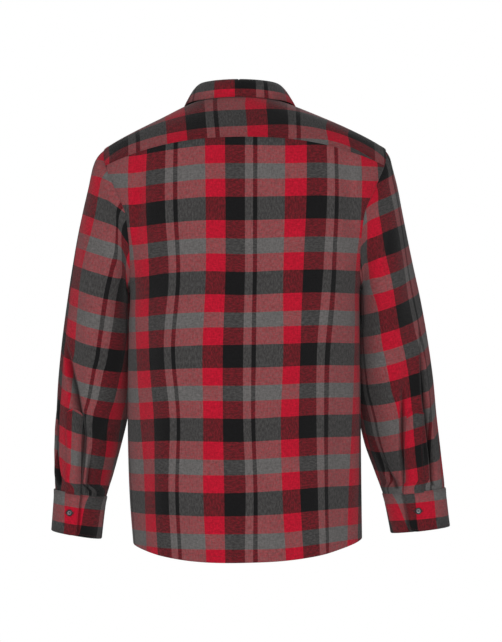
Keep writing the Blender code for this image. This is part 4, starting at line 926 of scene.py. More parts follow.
def dress_yoke():
    halves = zip(half_yoke(LEFT), half_yoke(RIGHT))
    points, normal, angle, level = (joined(*parts) for parts in halves)
    cut = yoke_cut(points, angle, level)
    edges = (LOW, START, END)
    return make_piece("yoke_cloth", points, normal, cut, YOKE_CLOTH, edges,
                      [(lap_over, edge) for edge in edges], [(edge, YOKE_STITCH) for edge in edges])


# ---- fronts ----
def lap_degrees(level, lap):
    """Degrees past the middle front for a lap of a given width."""
    return np.degrees(lap / spline(TORSO[:, WIDTH], level))


def front_outline(count):
    """Inner edge of a front, up the opening and round the neck to the yoke, and its neck's row."""
    neck_row = int(count * FRONT_OPENING_SHARE)
    low = np.linspace(0.0, UNDERARM_MIDDLE_LEVEL, SIDE_STEPS + 1)
    rise = np.linspace(0.0, 1.0, neck_row - SIDE_STEPS + 1)[1:]
    rise = rise + (rise ** 2 - rise) * OPENING_CROWDING
    high = UNDERARM_MIDDLE_LEVEL + (NECK_LEVEL - UNDERARM_MIDDLE_LEVEL) * rise
    opening = np.concatenate([low, high])
    start = 90.0 + lap_degrees(np.array([NECK_LEVEL]), FRONT_OVERLAP)[0]
    neck_angle = np.linspace(start, YOKE_NECK_ANGLE, count - len(opening) + 1)
    angle = np.concatenate([90.0 + lap_degrees(opening[:-1], FRONT_OVERLAP), neck_angle])
    return angle, np.concatenate([opening[:-1], np.full(len(neck_angle), NECK_LEVEL)]), neck_row


def front_grid(side):
    """Points, normals and flat cut of one front, and its neck's row. The left one laps over."""
    turns = armhole_turns()[3][::-1]
    edge_angle, edge_level = side_edge(turns)
    inner_angle, inner_level, neck_row = front_outline(len(edge_level))
    share = np.linspace(0.0, 1.0, FRONT_COLUMNS + 1)
    angle = inner_angle[:, None] + (edge_angle - inner_angle)[:, None] * share[None, :]
    level = inner_level[:, None] + (edge_level - inner_level)[:, None] * share[None, :]
    normal = mirrored(side, torso_normal(angle, level))
    normal[SIDE_STEPS:, -1] = armhole_normal(side, turns)
    points = torso(side, angle, level)
    if side == RIGHT:
        past_lap = (points[..., 0] - FRONT_OVERLAP - FRONT_UNDER_MARGIN) / FRONT_UNDER_REACH
        points = points - normal * (FRONT_UNDER_STEP * (1.0 - smooth_step(past_lap)))[..., None]
    return points, normal, front_cut(side, points, angle), neck_row


def front_cut(side, points, angle):
    """Flat cut of a front: across by the body's girth from the middle front, and down by height."""
    ring_angle = np.linspace(0.0, FRONT_RING_END, FRONT_RING_POINTS)
    ring = torso(side, ring_angle, np.full(FRONT_RING_POINTS, UNDERARM_LEVEL))
    girth = run_length(ring, 0)
    girth = np.interp(90.0, ring_angle, girth) - girth
    by_angle = np.interp(angle, ring_angle, girth)
    by_width = np.interp(side * points[..., 0], side * ring[::-1, 0], girth[::-1])
    flat_part = smooth_step((angle - FRONT_TURN_ANGLE) / FRONT_TURN_REACH)
    across = side * (by_angle + (by_width - by_angle) * flat_part)
    return stacked(across - FRONT_WARP_START, -points[..., 2] - BODY_WEFT_START)


def dress_front(side):
    points, normal, cut, _ = front_grid(side)
    return make_piece(
        f"front_{SIDE_NAMES[side]}_cloth", points, normal, cut, BODY_CLOTH, (END, START),
        ((lap_over, END), (tuck_under, TOP)), ((LOW, HEM_STITCH), (END, EDGE_TOPSTITCH)))


def dress_placket():
    """Strip over the left front's edge, with its cut taken from the front below it."""
    *layers, neck_row = front_grid(LEFT)
    widths = np.linspace(0.0, PLACKET_WIDTH, PLACKET_COLUMNS + 1)
    points, normal, cut = at_distance(layers[0][:neck_row + 1], layers, widths)
    normal = unit(normal)
    points = points + normal * (CLOTH / 2.0 + TRIM_CLOTH / 2.0 + PLACKET_GAP)
    return make_piece("placket_cloth", points, normal, cut, STRIP_CLOTH, (START, END),
                      sewn=((START, PLACKET_STITCH), (END, PLACKET_STITCH)))


# ---- sleeves, cuffs and sleeve plackets ----
def sleeve_grid():
    """Shares round a sleeve and rows down it where it has its lines of points."""
    back, *others = armhole_turns()
    back = np.linspace(back[0], back[-1], SLEEVE_FINENESS * ARMHOLE_BACK_STEPS + 1)
    turns = np.concatenate([part[:-1] for part in (back, *others)])
    return turns, np.linspace(0.0, CUFF_SEAM_ROW, SLEEVE_ROWS + 1)


def sleeve_warp_line(side, rows):
    """Length down the sleeve's outer line, and the way its warp runs, at each row."""
    outer = sleeve(side, np.full(len(rows), 0.5), rows)
    way = unit(np.gradient(outer, rows, axis=0))
    window = 2 * WARP_EVENING_ROWS + 1
    shares = np.ones(window) / window
    padded = (np.pad(column, WARP_EVENING_ROWS, mode="edge") for column in way.T)
    even = stacked(*(np.convolve(column, shares, mode="valid") for column in padded))
    return run_length(outer, 0), unit(even)


def sleeve_cut(side, points):
    """Flat cut of a sleeve: across from its outer line, minus to the back, and down its warp."""
    turns, rows = sleeve_grid()
    turns = np.concatenate([turns, [1.0]])
    length, way = sleeve_warp_line(side, rows)
    step = np.diff(np.concatenate([points, points[:, :1]], axis=1), axis=1)
    along = np.sum(step * way[:, None, :], axis=-1)
    across = np.linalg.norm(step - along[..., None] * way[:, None, :], axis=-1)
    outer_line = int(np.argmin(np.abs(turns - 0.5)))
    start = np.zeros((len(rows), 1))
    summed = (np.concatenate([start, np.cumsum(run, axis=1)], axis=1) for run in (across, along))
    across, along = (from_column(run, outer_line) for run in summed)
    down = length[:, None] + along
    column = np.interp(turns, SLEEVE_EASE_TURNS, (0.0, 4.0, 5.0)) + 0.0 * down
    last_row = len(SLEEVE_ACROSS_EASE[side]) - 1.0
    row = np.interp(rows, (0.0, CUFF_SEAM_ROW), (0.0, last_row))[:, None] + 0.0 * down
    return stacked(across + ease(SLEEVE_ACROSS_EASE[side], row, column),
                   down + ease(SLEEVE_DOWN_EASE[side], row, column))


def sleeve_cut_at(side, turn_grid, row_grid):
    """Flat cut of a sleeve under a strip that lies on it, so that their checks match."""
    turns, rows = sleeve_grid()
    cut = sleeve_cut(side, sleeve(side, *np.meshgrid(turns, rows)))
    turns = np.concatenate([turns, [1.0]])
    row = np.clip(row_grid / CUFF_SEAM_ROW * SLEEVE_ROWS, 0.0, SLEEVE_ROWS - 0.001)
    turn = np.clip(np.interp(turn_grid, turns, np.arange(len(turns))), 0.0, len(turns) - 1.001)
    row_low, turn_low = row.astype(int), turn.astype(int)
    down, across = (row - row_low)[..., None], (turn - turn_low)[..., None]
    upper, lower = (cut[at, turn_low] * (1.0 - across) + cut[at, turn_low + 1] * across
                    for at in (row_low, row_low + 1))
    return upper * (1.0 - down) + lower * down


def dress_sleeve(side):
    turns, rows = sleeve_grid()
    turn_grid, row_grid = np.meshgrid(turns, rows)
    points = sleeve(side, turn_grid, row_grid)
    points[0] = torso(side, *armhole_place(turns))
    normal = sleeve_normal(side, turn_grid, row_grid)
    normal[0] = armhole_normal(side, turns)
    degrees = np.degrees(armhole_phase(turn_grid % 1.0))
    # painted shade inside the sleeve where it lies against the body, fading out from its inner line
    # both ways
    behind = INNER_SHADE_END - degrees
    before = degrees - 360.0 + INNER_SHADE_END - INNER_SHADE_SHIFT
    inner = smooth_step(behind / INNER_SHADE_FADE) + smooth_step(before / INNER_SHADE_FADE)
    start, reach = INNER_SHADE_ROWS
    inner = INNER_SHADE * inner * smooth_step((row_grid - start) / reach)
    painted_shade_mask = np.maximum(sleeve_pleats(side, degrees, row_grid)[1], inner)
    return make_piece(
        f"sleeve_{SIDE_NAMES[side]}_cloth", points, normal, sleeve_cut(side, points), SLEEVE_CLOTH,
        (LOW, TOP), ((tuck_under, LOW), (tuck_under, TOP)), closed=True, painted_shade_mask=painted_shade_mask)


def cuff_lift(share):
    """Top end of the strip stands out, the under end is let in."""
    top = 1.0 - smooth_step((share - CUFF_LAP_SHARE) / CUFF_EASE_SHARE)
    under = smooth_step((share - 1.0 + CUFF_LAP_SHARE + CUFF_EASE_SHARE) / CUFF_EASE_SHARE)
    return CUFF_STEP * (top - under)


def dress_cuff(side):
    """A cuff from its seam down to its edge, with its lines of points closer at its rounded end."""
    shares = np.concatenate([np.linspace(0.0, CUFF_END_SHARE, CUFF_END_COLUMNS)[:-1],
                             np.linspace(CUFF_END_SHARE, 1.0, CUFF_COLUMNS)])
    reach_round = 360.0 + CUFF_OVERLAP_DEGREES
    turns = turn_at(CUFF_EDGE[side] + reach_round * shares)
    from_end = np.clip(shares * (CUFF_GIRTH * reach_round / 360.0), 0.0, CUFF_CORNER)
    height = np.sqrt(np.maximum(CUFF_CORNER ** 2 - (CUFF_CORNER - from_end) ** 2, 0.0))
    reach = 1.0 - (CUFF_CORNER - height) / CUFF_LENGTH
    down = np.linspace(0.0, 1.0, CUFF_ROWS + 1)[:, None]
    row = CUFF_SEAM_ROW + down * reach[None, :] * (CUFF_END_ROW - CUFF_SEAM_ROW)
    turn_grid = np.broadcast_to(turns[None, :], row.shape)
    points = sleeve(side, turn_grid, row, np.broadcast_to(cuff_lift(shares)[None, :], row.shape))
    warp_start, weft_start = CUFF_STARTS[side]
    ease_start, ease_reach = CUFF_FRONT_SHARES
    ease_in = CUFF_FRONT_EASE[side] * smooth_step((shares[None, :] - ease_start) / ease_reach)
    cut = stacked(-run_length(points, 1) - warp_start + ease_in, run_length(points, 0) - weft_start)
    # painted shade: a dark line on the under end, just beside where the cuff's lapped end lies over
    # it
    beside_lap = (360.0 - LAP_SHADE_REACH - reach_round * shares) / LAP_SHADE_REACH
    painted_shade_mask = LAP_SHADE * np.exp(-beside_lap ** 2)[None, :] + 0.0 * row
    return make_piece(
        f"cuff_{SIDE_NAMES[side]}_cloth", points, sleeve_normal(side, turn_grid, row), cut,
        STIFF_CLOTH, (LOW, TOP, START), ((lap_over, LOW),),
        ((LOW, CUFF_TOP_STITCH), (TOP, CUFF_EDGE_STITCH), (START, CUFF_EDGE_STITCH)), painted_shade_mask=painted_shade_mask)


def dress_sleeve_placket(side):
    """Strip with a pointed top over the sleeve's slit, drifting outward above the cuff."""
    rows = np.linspace(SLEEVE_PLACKET_TOP, CUFF_SEAM_ROW, SLEEVE_PLACKET_ROWS + 1)
    rise = (CUFF_SEAM_ROW - rows) / (CUFF_SEAM_ROW - SLEEVE_PLACKET_TOP)
    width = SLEEVE_PLACKET_TURN - SLEEVE_PLACKET_TAPER * rise
    share = np.linspace(0.0, 1.0, SLEEVE_PLACKET_COLUMNS + 1)
    edge = turn_at(CUFF_EDGE[side]) + SLEEVE_PLACKET_DRIFT[side] * rise
    turn_grid = edge[:, None] + width[:, None] * share[None, :]
    row_grid = np.broadcast_to(rows[:, None], turn_grid.shape)
    clear = CLOTH / 2.0 + TRIM_CLOTH / 2.0 + LAY_GAP + SLEEVE_PLACKET_EXTRA
    points = sleeve(side, turn_grid, row_grid, clear)
    sides = np.abs(np.linspace(-1.0, 1.0, SLEEVE_PLACKET_COLUMNS + 1))[None, :, None]
    fade = np.clip(1.0 - np.arange(len(rows)) / SLEEVE_PLACKET_POINT_ROWS, 0.0, 1.0)[:, None, None]
    point_fall = points[SLEEVE_PLACKET_POINT_ROWS] - points[0]
    points = points + point_fall[None] * sides * fade * SLEEVE_PLACKET_POINT
    cut = sleeve_cut_at(side, turn_grid, row_grid)
    cut[..., 0] += SLEEVE_PLACKET_EASE[side]
    normal = sleeve_normal(side, turn_grid, row_grid)
    return make_piece(
        f"sleeve_placket_{SIDE_NAMES[side]}_cloth", points, normal, cut, STRIP_CLOTH, (START, END),
        sewn=((START, CUFF_EDGE_STITCH), (END, CUFF_EDGE_STITCH)))


# ---- collar ----
def stand_point(angle, up, out):
    """Point of the collar stand, up by a share of its height, and the way out from the neck."""
    base = bare_torso(angle, np.full(np.shape(angle), NECK_LEVEL))
    flat = unit(base * np.array((1.0, 1.0, 0.0)))
    front = smooth_step((np.sin(np.radians(angle)) + STAND_FRONT[0]) / STAND_FRONT[1])
    height = STAND_HEIGHT_BACK + (STAND_HEIGHT_FRONT - STAND_HEIGHT_BACK) * front
    rise = np.zeros_like(base)
    rise[..., 2] = height * up + STAND_CLEAR
    lean = STAND_LEAN * (1.0 - STAND_LEAN_LOST * front)
    return base + rise + flat * np.asarray(out - lean * up)[..., None], flat


def clear_of_seam(points, normal, distance, edge_move):
    return points + edge_move * STAND_CLEAR


def dress_stand():
    lap = np.degrees(STAND_OVERLAP / NECK_RADIUS)
    share = np.linspace(0.0, 1.0, STAND_COLUMNS + 1)[None, :]
    up = np.linspace(0.0, 1.0, STAND_ROWS + 1)[:, None] + 0.0 * share
    angle = 90.0 + lap - (360.0 + 2.0 * lap) * share + 0.0 * up
    under = 1.0 - smooth_step((share - STAND_LAP_SHARE) / STAND_EASE_SHARE)
    over = smooth_step((share - 1.0 + STAND_LAP_SHARE + STAND_EASE_SHARE) / STAND_EASE_SHARE)
    points, flat = stand_point(angle, up, STAND_STEP * (over - under) + 0.0 * up)
    points[..., 0] += spline(TORSO[:, SHIFT], NECK_LEVEL)
    cut = stacked(run_length(points, 1), -run_length(points, 0))
    return make_piece("collar_stand_cloth", points, flat, cut, STIFF_CLOTH, (LOW,),
                      ((clear_of_seam, LOW),), ((LOW, STAND_STITCH),))


def fall_grid():
    """Fall from its roll over the stand down to its lower edge, left point to right point."""
    share = np.linspace(-1.0, 1.0, FALL_COLUMNS)
    size = np.abs(share)
    side = np.where(share < 0.0, -1.0, 1.0)
    _, edge_angle, edge_level, clear = read(FALL, np.interp(size, FALL[:, 0], np.arange(len(FALL))))
    edge = bare_torso(edge_angle, edge_level)
    edge = edge + torso_normal(edge_angle, edge_level) * clear[:, None]
    top_angle = -90.0 + (FALL_FRONT_ANGLE + 90.0) * size
    top, flat = stand_point(top_angle, np.ones_like(size), np.zeros_like(size))
    top[:, 2] += FALL_ROLL_UP
    knee_angle = (top_angle + edge_angle) / 2.0
    knee, _ = stand_point(knee_angle, np.full_like(size, FALL_KNEE_UP),
                          np.full_like(size, FALL_KNEE_OUT))
    rows, shares = np.linspace(0.0, 1.0, FALL_ROWS), np.linspace(0.0, 1.0, len(FALL_ROLL))
    roll = np.interp(rows, shares, FALL_ROLL)[:, None, None]
    points = (top[None] * (1.0 - roll) ** 2 + knee[None] * 2.0 * roll * (1.0 - roll)
              + edge[None] * roll ** 2)
    normal = unit(np.cross(np.gradient(points, axis=0), np.gradient(points, axis=1)))
    facing = np.sum(normal * flat[None], axis=-1, keepdims=True) + FALL_UPWARD * normal[..., 2:3]
    normal = normal * np.where(facing < 0.0, -1.0, 1.0)
    points[..., 0] *= side[None, :]
    normal[..., 0] *= side[None, :]
    edge_shift = spline(TORSO[:, SHIFT], edge_level)[None, :]
    neck_shift = spline(TORSO[:, SHIFT], NECK_LEVEL)
    points[..., 0] += neck_shift + (edge_shift - neck_shift) * roll[..., 0]
    return points, normal


def dress_fall():
    points, normal = fall_grid()
    across = from_column(run_length(points, 1), FALL_COLUMNS // 2)
    cut = stacked(across * FALL_WARP_SHARE - FALL_WARP_START,
                  -from_edge(points, TOP) - FALL_WEFT_START)
    edges = (TOP, START, END)
    return make_piece("collar_fall_cloth", points, normal, cut, STIFF_CLOTH, edges,
                      sewn=[(edge, FALL_STITCH) for edge in edges])


# ---- shader nodes and groups ----
def linear(red, green, blue):
    """Linear opaque colour from the usual 0 to 255 screen values."""
    shares = [part / 255.0 for part in (red, green, blue)]
    return (*(share / 12.92 if share <= 0.04045 else ((share + 0.055) / 1.055) ** 2.4
              for share in shares), 1.0)


def plug(tree, made, ins):
    """Links or sets a node's input sockets."""
    for place, value in ins.items():
        if isinstance(value, bpy.types.NodeSocket):
            tree.links.new(value, made.inputs[place])
        else:
            made.inputs[place].default_value = value


def node(tree, kind, ins={}, **settings):
    """A node with its settings, and its input sockets by name or number in ins."""
    made = tree.nodes.new(kind)
    for label, value in settings.items():
        setattr(made, label, value)
    plug(tree, made, ins)
    return made


def maths(tree, operation, first, second=0.0, third=0.0, clamp=False):
    ins = {0: first, 1: second, 2: third}
    return node(tree, "ShaderNodeMath", ins, operation=operation, use_clamp=clamp).outputs[0]


def sums(tree):
    """Adding, multiplying, and multiplying then adding, of a tree's values."""
    operations = ("ADD", "MULTIPLY", "MULTIPLY_ADD")
    return [functools.partial(maths, tree, operation) for operation in operations]


def vector_maths(tree, operation, ins):
    return node(tree, "ShaderNodeVectorMath", ins, operation=operation).outputs[0]


def blend(tree, amount, first, second, mode="MIX"):
    """Mix of two colours."""
    ins = {0: amount, 6: first, 7: second}
    return node(tree, "ShaderNodeMix", ins, data_type="RGBA", blend_type=mode).outputs[2]


def noise(tree, place, scale, detail, **more):
    """Outputs of a noise: its height, and its colour."""
    ins = {"Vector": place, "Scale": scale, "Detail": detail, **more}
    return node(tree, "ShaderNodeTexNoise", ins).outputs


def attribute(tree, name):
    return node(tree, "ShaderNodeAttribute", attribute_name=name).outputs["Fac"]


def group_for(name, setting, value, kind, outputs):
    """A shader group that reads the flat cut and one setting, with its named outputs."""
    group = bpy.data.node_groups.new(name, "ShaderNodeTree")
    socket = group.interface.new_socket
    socket("Cut", in_out="INPUT", socket_type="NodeSocketVector")
    socket(setting, in_out="INPUT", socket_type="NodeSocketFloat").default_value = value
    for label in outputs:
        socket(label, in_out="OUTPUT", socket_type=kind)
    entry, leave = group.nodes.new("NodeGroupInput"), group.nodes.new("NodeGroupOutput")
    return group, entry.outputs["Cut"], entry.outputs[setting], leave


YARN_CROSSINGS = {
    ("red", "red"): linear(180, 15, 42),
    ("black", "black"): linear(17.5, 17, 18),
    ("grey", "grey"): linear(101, 98.6, 97.6),
    ("black", "red"): linear(77, 28, 31.5),
    ("grey", "red"): linear(133, 71, 73),
    ("black", "grey"): linear(60, 59, 58.6),
}


def band_masks(tree, position, bands):
    """Masks of red, black and grey yarn across one repeat of the bands."""
    repeat = sum(width for _, width in bands)
    share = maths(tree, "FRACT", maths(tree, "DIVIDE", position, repeat))
    ramp = node(tree, "ShaderNodeValToRGB", {0: share})
    ramp.color_ramp.interpolation = "CONSTANT"
    stops = ramp.color_ramp.elements
    at = 0.0
    for number, (yarn, width) in enumerate(bands):
        stop = stops[number] if number < 2 else stops.new(at / repeat)
        stop.position = at / repeat
        stop.color = (*(float(yarn == kind) for kind in YARNS), 1.0)
        at += width
    return node(tree, "ShaderNodeSeparateColor", {0: ramp.outputs[0]}).outputs


def by_yarn(group, masks, colours):
    """The colour that belongs to the yarn at each place, of those for red, black and grey."""
    red, black, grey = colours
    return blend(group, masks[2], blend(group, masks[0], black, red), grey)


def plaid_group():
    """Red, black and grey checks from the flat cut. Each crossing of two yarns has its colour."""
    group, cut, wander, leave = group_for("plaid_bands", "Wander", 0.0004, "NodeSocketColor",
                                          ("Colour", "Warp colour", "Weft colour"))
    cloud = noise(group, cut, YARN_WANDER_SCALE, 1.0)["Color"]
    shake = vector_maths(group, "SUBTRACT", {0: cloud, 1: (0.5, 0.5, 0.5)})
    shake = vector_maths(group, "SCALE", {0: shake, "Scale": wander})
    place = vector_maths(group, "ADD", {0: cut, 1: shake})
    across, down, _ = node(group, "ShaderNodeSeparateXYZ", {0: place}).outputs
    warp, weft = band_masks(group, across, WARP_BANDS), band_masks(group, down, WEFT_BANDS)
    rows = [by_yarn(group, weft, [YARN_CROSSINGS[tuple(sorted((yarn, other)))] for other in YARNS])
            for yarn in YARNS]
    colour = by_yarn(group, warp, rows)
    own = [YARN_CROSSINGS[(yarn, yarn)] for yarn in YARNS]
    plug(group, leave, {"Colour": colour, "Warp colour": by_yarn(group, warp, own),
                        "Weft colour": by_yarn(group, weft, own)})
    return group


def twill_group():
    """Slanting ribs of a twill weave: height, and where the warp yarn lies on top."""
    group, cut, rib, leave = group_for("twill_ribs", "Rib width", 0.0011, "NodeSocketFloat",
                                       ("Height", "Warp on top"))
    add, times, fit = sums(group)
    across, down, _ = node(group, "ShaderNodeSeparateXYZ", {0: cut}).outputs
    slant = add(add(across, down), times(noise(group, cut, RIB_WANDER_SCALE, 2.0)[0], RIB_WANDER))
    wave = maths(group, "SINE", maths(group, "DIVIDE", times(slant, math.tau), rib))
    turns = times(across, math.tau * YARNS_PER_RIB)
    yarn = maths(group, "SINE", maths(group, "DIVIDE", turns, rib))
    plug(group, leave, {"Height": add(wave, times(yarn, 0.4)),
                        "Warp on top": fit(wave, 0.5, 0.5, clamp=True)})
    return group


def nap_group():
    """Brushed nap: fine fibre mottling and slow patches where the nap lies the other way."""
    group, cut, scale, leave = group_for("brushed_nap", "Fibre scale", 1500.0, "NodeSocketFloat",
                                         ("Fibre", "Patch", "Height", "Warp fleck", "Weft fleck"))
    add, times, _ = sums(group)
    drawn = vector_maths(group, "MULTIPLY", {0: cut, 1: (1.0, 0.45, 1.0)})
    fibre = noise(group, drawn, scale, 3.0, Roughness=0.65)[0]
    clump = noise(group, drawn, 420.0, 2.0)[0]
    plug(group, leave, {"Fibre": fibre, "Patch": noise(group, cut, 28.0, 3.0)[0],
                        "Height": add(fibre, times(clump, 0.8))})
    for name, stretch in (("Warp fleck", (1.0, 0.40, 1.0)), ("Weft fleck", (0.40, 1.0, 1.0))):
        run = vector_maths(group, "MULTIPLY", {0: cut, 1: stretch})
        plug(group, leave, {name: noise(group, run, FLECK_SCALE, 2.0, Roughness=0.6)[0]})
    return group


# ---- materials ----
FLECK_SCALE = 400.0
FLECK_MIX = 1.7
# how far the painted shade darkens the cloth where its mask is full
PAINTED_SHADE_STRENGTH = 0.86
SEAM_SHADE = 0.10
SOFT_WAVE = 0.0016
# how far the painted highlight lightens the button's dish
DISH_SHINE = 0.75
# painted shade tone (below 1 for the yoke's darker face), fibre, patch, weave, fleck, height of the
# nap's bumps, height of the puckers beside a seam
CLOTH_FINISHES = {
    "flannel_body": (1.0, 0.30, 0.10, 0.30, 0.85, 0.00016, 0.0010),
    # the yoke's lower tone is painted shade: its face turns up and back, away from the lamps
    "flannel_yoke": (0.88, 0.30, 0.10, 0.30, 0.85, 0.00016, 0.0009),
    "flannel_sleeve": (1.0, 0.30, 0.12, 0.30, 0.85, 0.00016, 0.0014),
    "flannel_trim": (1.0, 0.26, 0.08, 0.28, 0.75, 0.00013, 0.0008),
}


def blank_material(name):
    """A material with its node tree and its shader."""
    material = bpy.data.materials.new(name)
    material.use_nodes = True
    return material, material.node_tree, material.node_tree.nodes["Principled BSDF"]


def bumps(tree, height, distance, strength):
    ins = {"Height": height, "Distance": distance, "Strength": strength}
    return node(tree, "ShaderNodeBump", ins).outputs[0]


def two_tone(tree, amount, dark, light, start=0.0, end=1.0):
    """Colour between a dark and a light one."""
    ramp = node(tree, "ShaderNodeValToRGB", {0: amount})
    for stop, colour, position in zip(ramp.color_ramp.elements, (dark, light), (start, end)):
        stop.position = position
        stop.color = linear(*colour)
    return ramp.outputs[0]


def cloth_material(name):
    """Brushed plaid twill. It reads each piece's own flat cut, so the checks follow the cloth."""
    ready = bpy.data.materials.get(name + "_plaid")
    if ready is not None:
        return ready
    (painted_shade_tone, fibre_mix, patch_mix, weave_mix, fleck_mix,
     nap_height, pucker_height) = CLOTH_FINISHES[name]
    material, tree, shader = blank_material(name + "_plaid")
    add, times, fit = sums(tree)
    cut = node(tree, "ShaderNodeUVMap", uv_map="cut").outputs[0]
    plaid, twill, nap = (node(tree, "ShaderNodeGroup", {}, node_tree=group) for group in GROUPS)
    for group in (plaid, twill, nap):
        plug(tree, group, {"Cut": cut})
    plaid, twill, nap = plaid.outputs, twill.outputs, nap.outputs
    lead = maths(tree, "SUBTRACT", nap["Warp fleck"], nap["Weft fleck"])
    lead = add(fit(lead, FLECK_MIX, fit(twill["Warp on top"], 0.5, 0.25)), 0.0, clamp=True)
    own = blend(tree, lead, plaid["Weft colour"], plaid["Warp colour"])
    colour = blend(tree, weave_mix, plaid["Colour"], own)
    fibre = fit(nap["Fibre"], fibre_mix * 2.0, 1.0 - fibre_mix)
    patch = fit(nap["Patch"], patch_mix * 2.0, 1.0 - patch_mix)
    flecks = fit(add(nap["Warp fleck"], nap["Weft fleck"]), fleck_mix, 1.0 - fleck_mix)
    # painted shade: a little darker along the seams, and darker still where the painted shade mask
    # is full: in the pleats' troughs, inside the sleeves next to the body and beside a cuff's
    # lapped end
    seam, painted_shade = attribute(tree, "seam"), attribute(tree, "painted_shade")
    shade = times(times(times(fibre, patch), painted_shade_tone), flecks)
    shade = times(shade, fit(seam, -SEAM_SHADE, 1.0))
    shade = times(shade, fit(painted_shade, -PAINTED_SHADE_STRENGTH, 1.0))
    tint = node(tree, "ShaderNodeCombineColor", {0: shade, 1: shade, 2: shade}).outputs[0]
    pucker = times(times(noise(tree, cut, PUCKER_SCALE, 2.0)[0], seam), pucker_height)
    wave = times(noise(tree, cut, SOFT_WAVE_SCALE, 2.5)[0], SOFT_WAVE)
    weave = times(twill["Height"], nap_height * 0.5)
    height = add(add(pucker, weave), add(times(nap["Height"], nap_height), wave))
    plug(tree, shader, {
        "Base Color": blend(tree, 1.0, colour, tint, mode="MULTIPLY"),
        "Roughness": fit(nap["Fibre"], 0.14, 0.80, clamp=True),
        "Specular IOR Level": 0.10, "Sheen Weight": 0.10, "Sheen Roughness": 0.55,
        "Normal": bumps(tree, height, 1.0, 1.0)})
    return material


def thread_material(name, twist_scale, dark, light, roughness):
    """Matte thread with a fine twist."""
    material, tree, shader = blank_material(name)
    place = node(tree, "ShaderNodeTexCoord").outputs["Object"]
    twist = noise(tree, place, twist_scale, 2.0)[0]
    plug(tree, shader, {"Base Color": two_tone(tree, twist, dark, light), "Roughness": roughness,
                        "Normal": bumps(tree, twist, 0.0001, 0.6)})
    return material


def button_material():
    """Dark resin with faint clouds, fine turning marks and a painted highlight that makes the dish
    paler.
    """
    material, tree, shader = blank_material("button_resin_dark")
    place = node(tree, "ShaderNodeTexCoord").outputs["Object"]
    cloud = noise(tree, place, BUTTON_CLOUD_SCALE, 4.0, Distortion=0.8)[0]
    fine = noise(tree, place, BUTTON_MARK_SCALE, 2.0)[0]
    resin = two_tone(tree, cloud, (12, 12, 14), (34, 33, 35), 0.35, 0.75)
    # painted highlight: the dish is blended towards a pale grey for the gloss in its middle
    painted_highlight = maths(tree, "MULTIPLY", attribute(tree, "dish"), DISH_SHINE)
    plug(tree, shader, {"Base Color": blend(tree, painted_highlight, resin, linear(128, 128, 134)),
                        "Roughness": maths(tree, "MULTIPLY_ADD", fine, 0.16, 0.22),
                        "Normal": bumps(tree, fine, 0.00006, 0.5)})
    return material


# ---- stitches, from a Geometry Nodes tree that follows seam lines ----
def stitch_tree():
    """Stitches along lines: one small rounded bar for each step, along or across the line."""
    tree = bpy.data.node_groups.new("seam_stitches", "GeometryNodeTree")
    for label, kind in (("Lines", "Geometry"), ("Pitch", "Float"), ("Length", "Float"),
                        ("Thread", "Float"), ("Turn", "Float"), ("Thread material", "Material")):
        tree.interface.new_socket(label, in_out="INPUT", socket_type="NodeSocket" + kind)
    tree.interface.new_socket("Stitches", in_out="OUTPUT", socket_type="NodeSocketGeometry")
    entry = tree.nodes.new("NodeGroupInput").outputs

    def step(kind, ins, **settings):
        return node(tree, kind, ins, **settings).outputs

    curve = step("GeometryNodeMeshToCurve", {"Mesh": entry["Lines"]})
    curve = step("GeometryNodeResampleCurve",
                 {"Curve": curve["Curve"], "Length": entry["Pitch"]}, mode="LENGTH")
    spots = step("GeometryNodeCurveToPoints", {"Curve": curve["Curve"]}, mode="EVALUATED")
    facing = step("GeometryNodeInputNamedAttribute", {"Name": "facing"}, data_type="FLOAT_VECTOR")
    along = step("FunctionNodeAlignRotationToVector", {"Vector": spots["Tangent"]}, axis="X")
    upright = step("FunctionNodeAlignRotationToVector",
                   {"Rotation": along["Rotation"], "Vector": facing["Attribute"]},
                   axis="Z", pivot_axis="X")
    spin = step("FunctionNodeAxisAngleToRotation",
                {"Axis": (0.0, 0.0, 1.0), "Angle": entry["Turn"]})
    turned = step("FunctionNodeRotateRotation",
                  {"Rotation": upright["Rotation"], "Rotate By": spin["Rotation"]},
                  rotation_space="LOCAL")
    bar = step("GeometryNodeMeshUVSphere", {"Segments": 6, "Rings": 4, "Radius": 0.5})
    size = step("ShaderNodeCombineXYZ",
                {"X": entry["Length"], "Y": entry["Thread"], "Z": entry["Thread"]})
    made = step("GeometryNodeInstanceOnPoints",
                {"Points": spots["Points"], "Instance": bar["Mesh"],
                 "Rotation": turned["Rotation"], "Scale": size["Vector"]})
    made = step("GeometryNodeRealizeInstances", {"Geometry": made["Instances"]})
    made = step("GeometryNodeSetShadeSmooth", {"Geometry": made["Geometry"]})
    made = step("GeometryNodeSetMaterial",
                {"Geometry": made["Geometry"], "Material": entry["Thread material"]})
    node(tree, "NodeGroupOutput", {"Stitches": made["Geometry"]})
    return tree


def line_mesh(name, lines):
    """Loose edges along each line, with the way the cloth faces kept at each point."""
    edges, count = [], 0
    for points, _ in lines:
        edges.extend((count + step, count + step + 1) for step in range(len(points) - 1))
        count += len(points)
    mesh = bpy.data.meshes.new(name)
    mesh.from_pydata(np.concatenate([points for points, _ in lines]).tolist(), edges, [])
    facings = np.concatenate([facing for _, facing in lines])
    keep_values(mesh, "facing", facings, "FLOAT_VECTOR", "vector")
    return mesh


def evaluated_mesh(piece):
    """A plain mesh of an object with its modifiers."""
    bpy.context.view_layer.update()
    graph = bpy.context.evaluated_depsgraph_get()
    return bpy.data.meshes.new_from_object(piece.evaluated_get(graph))


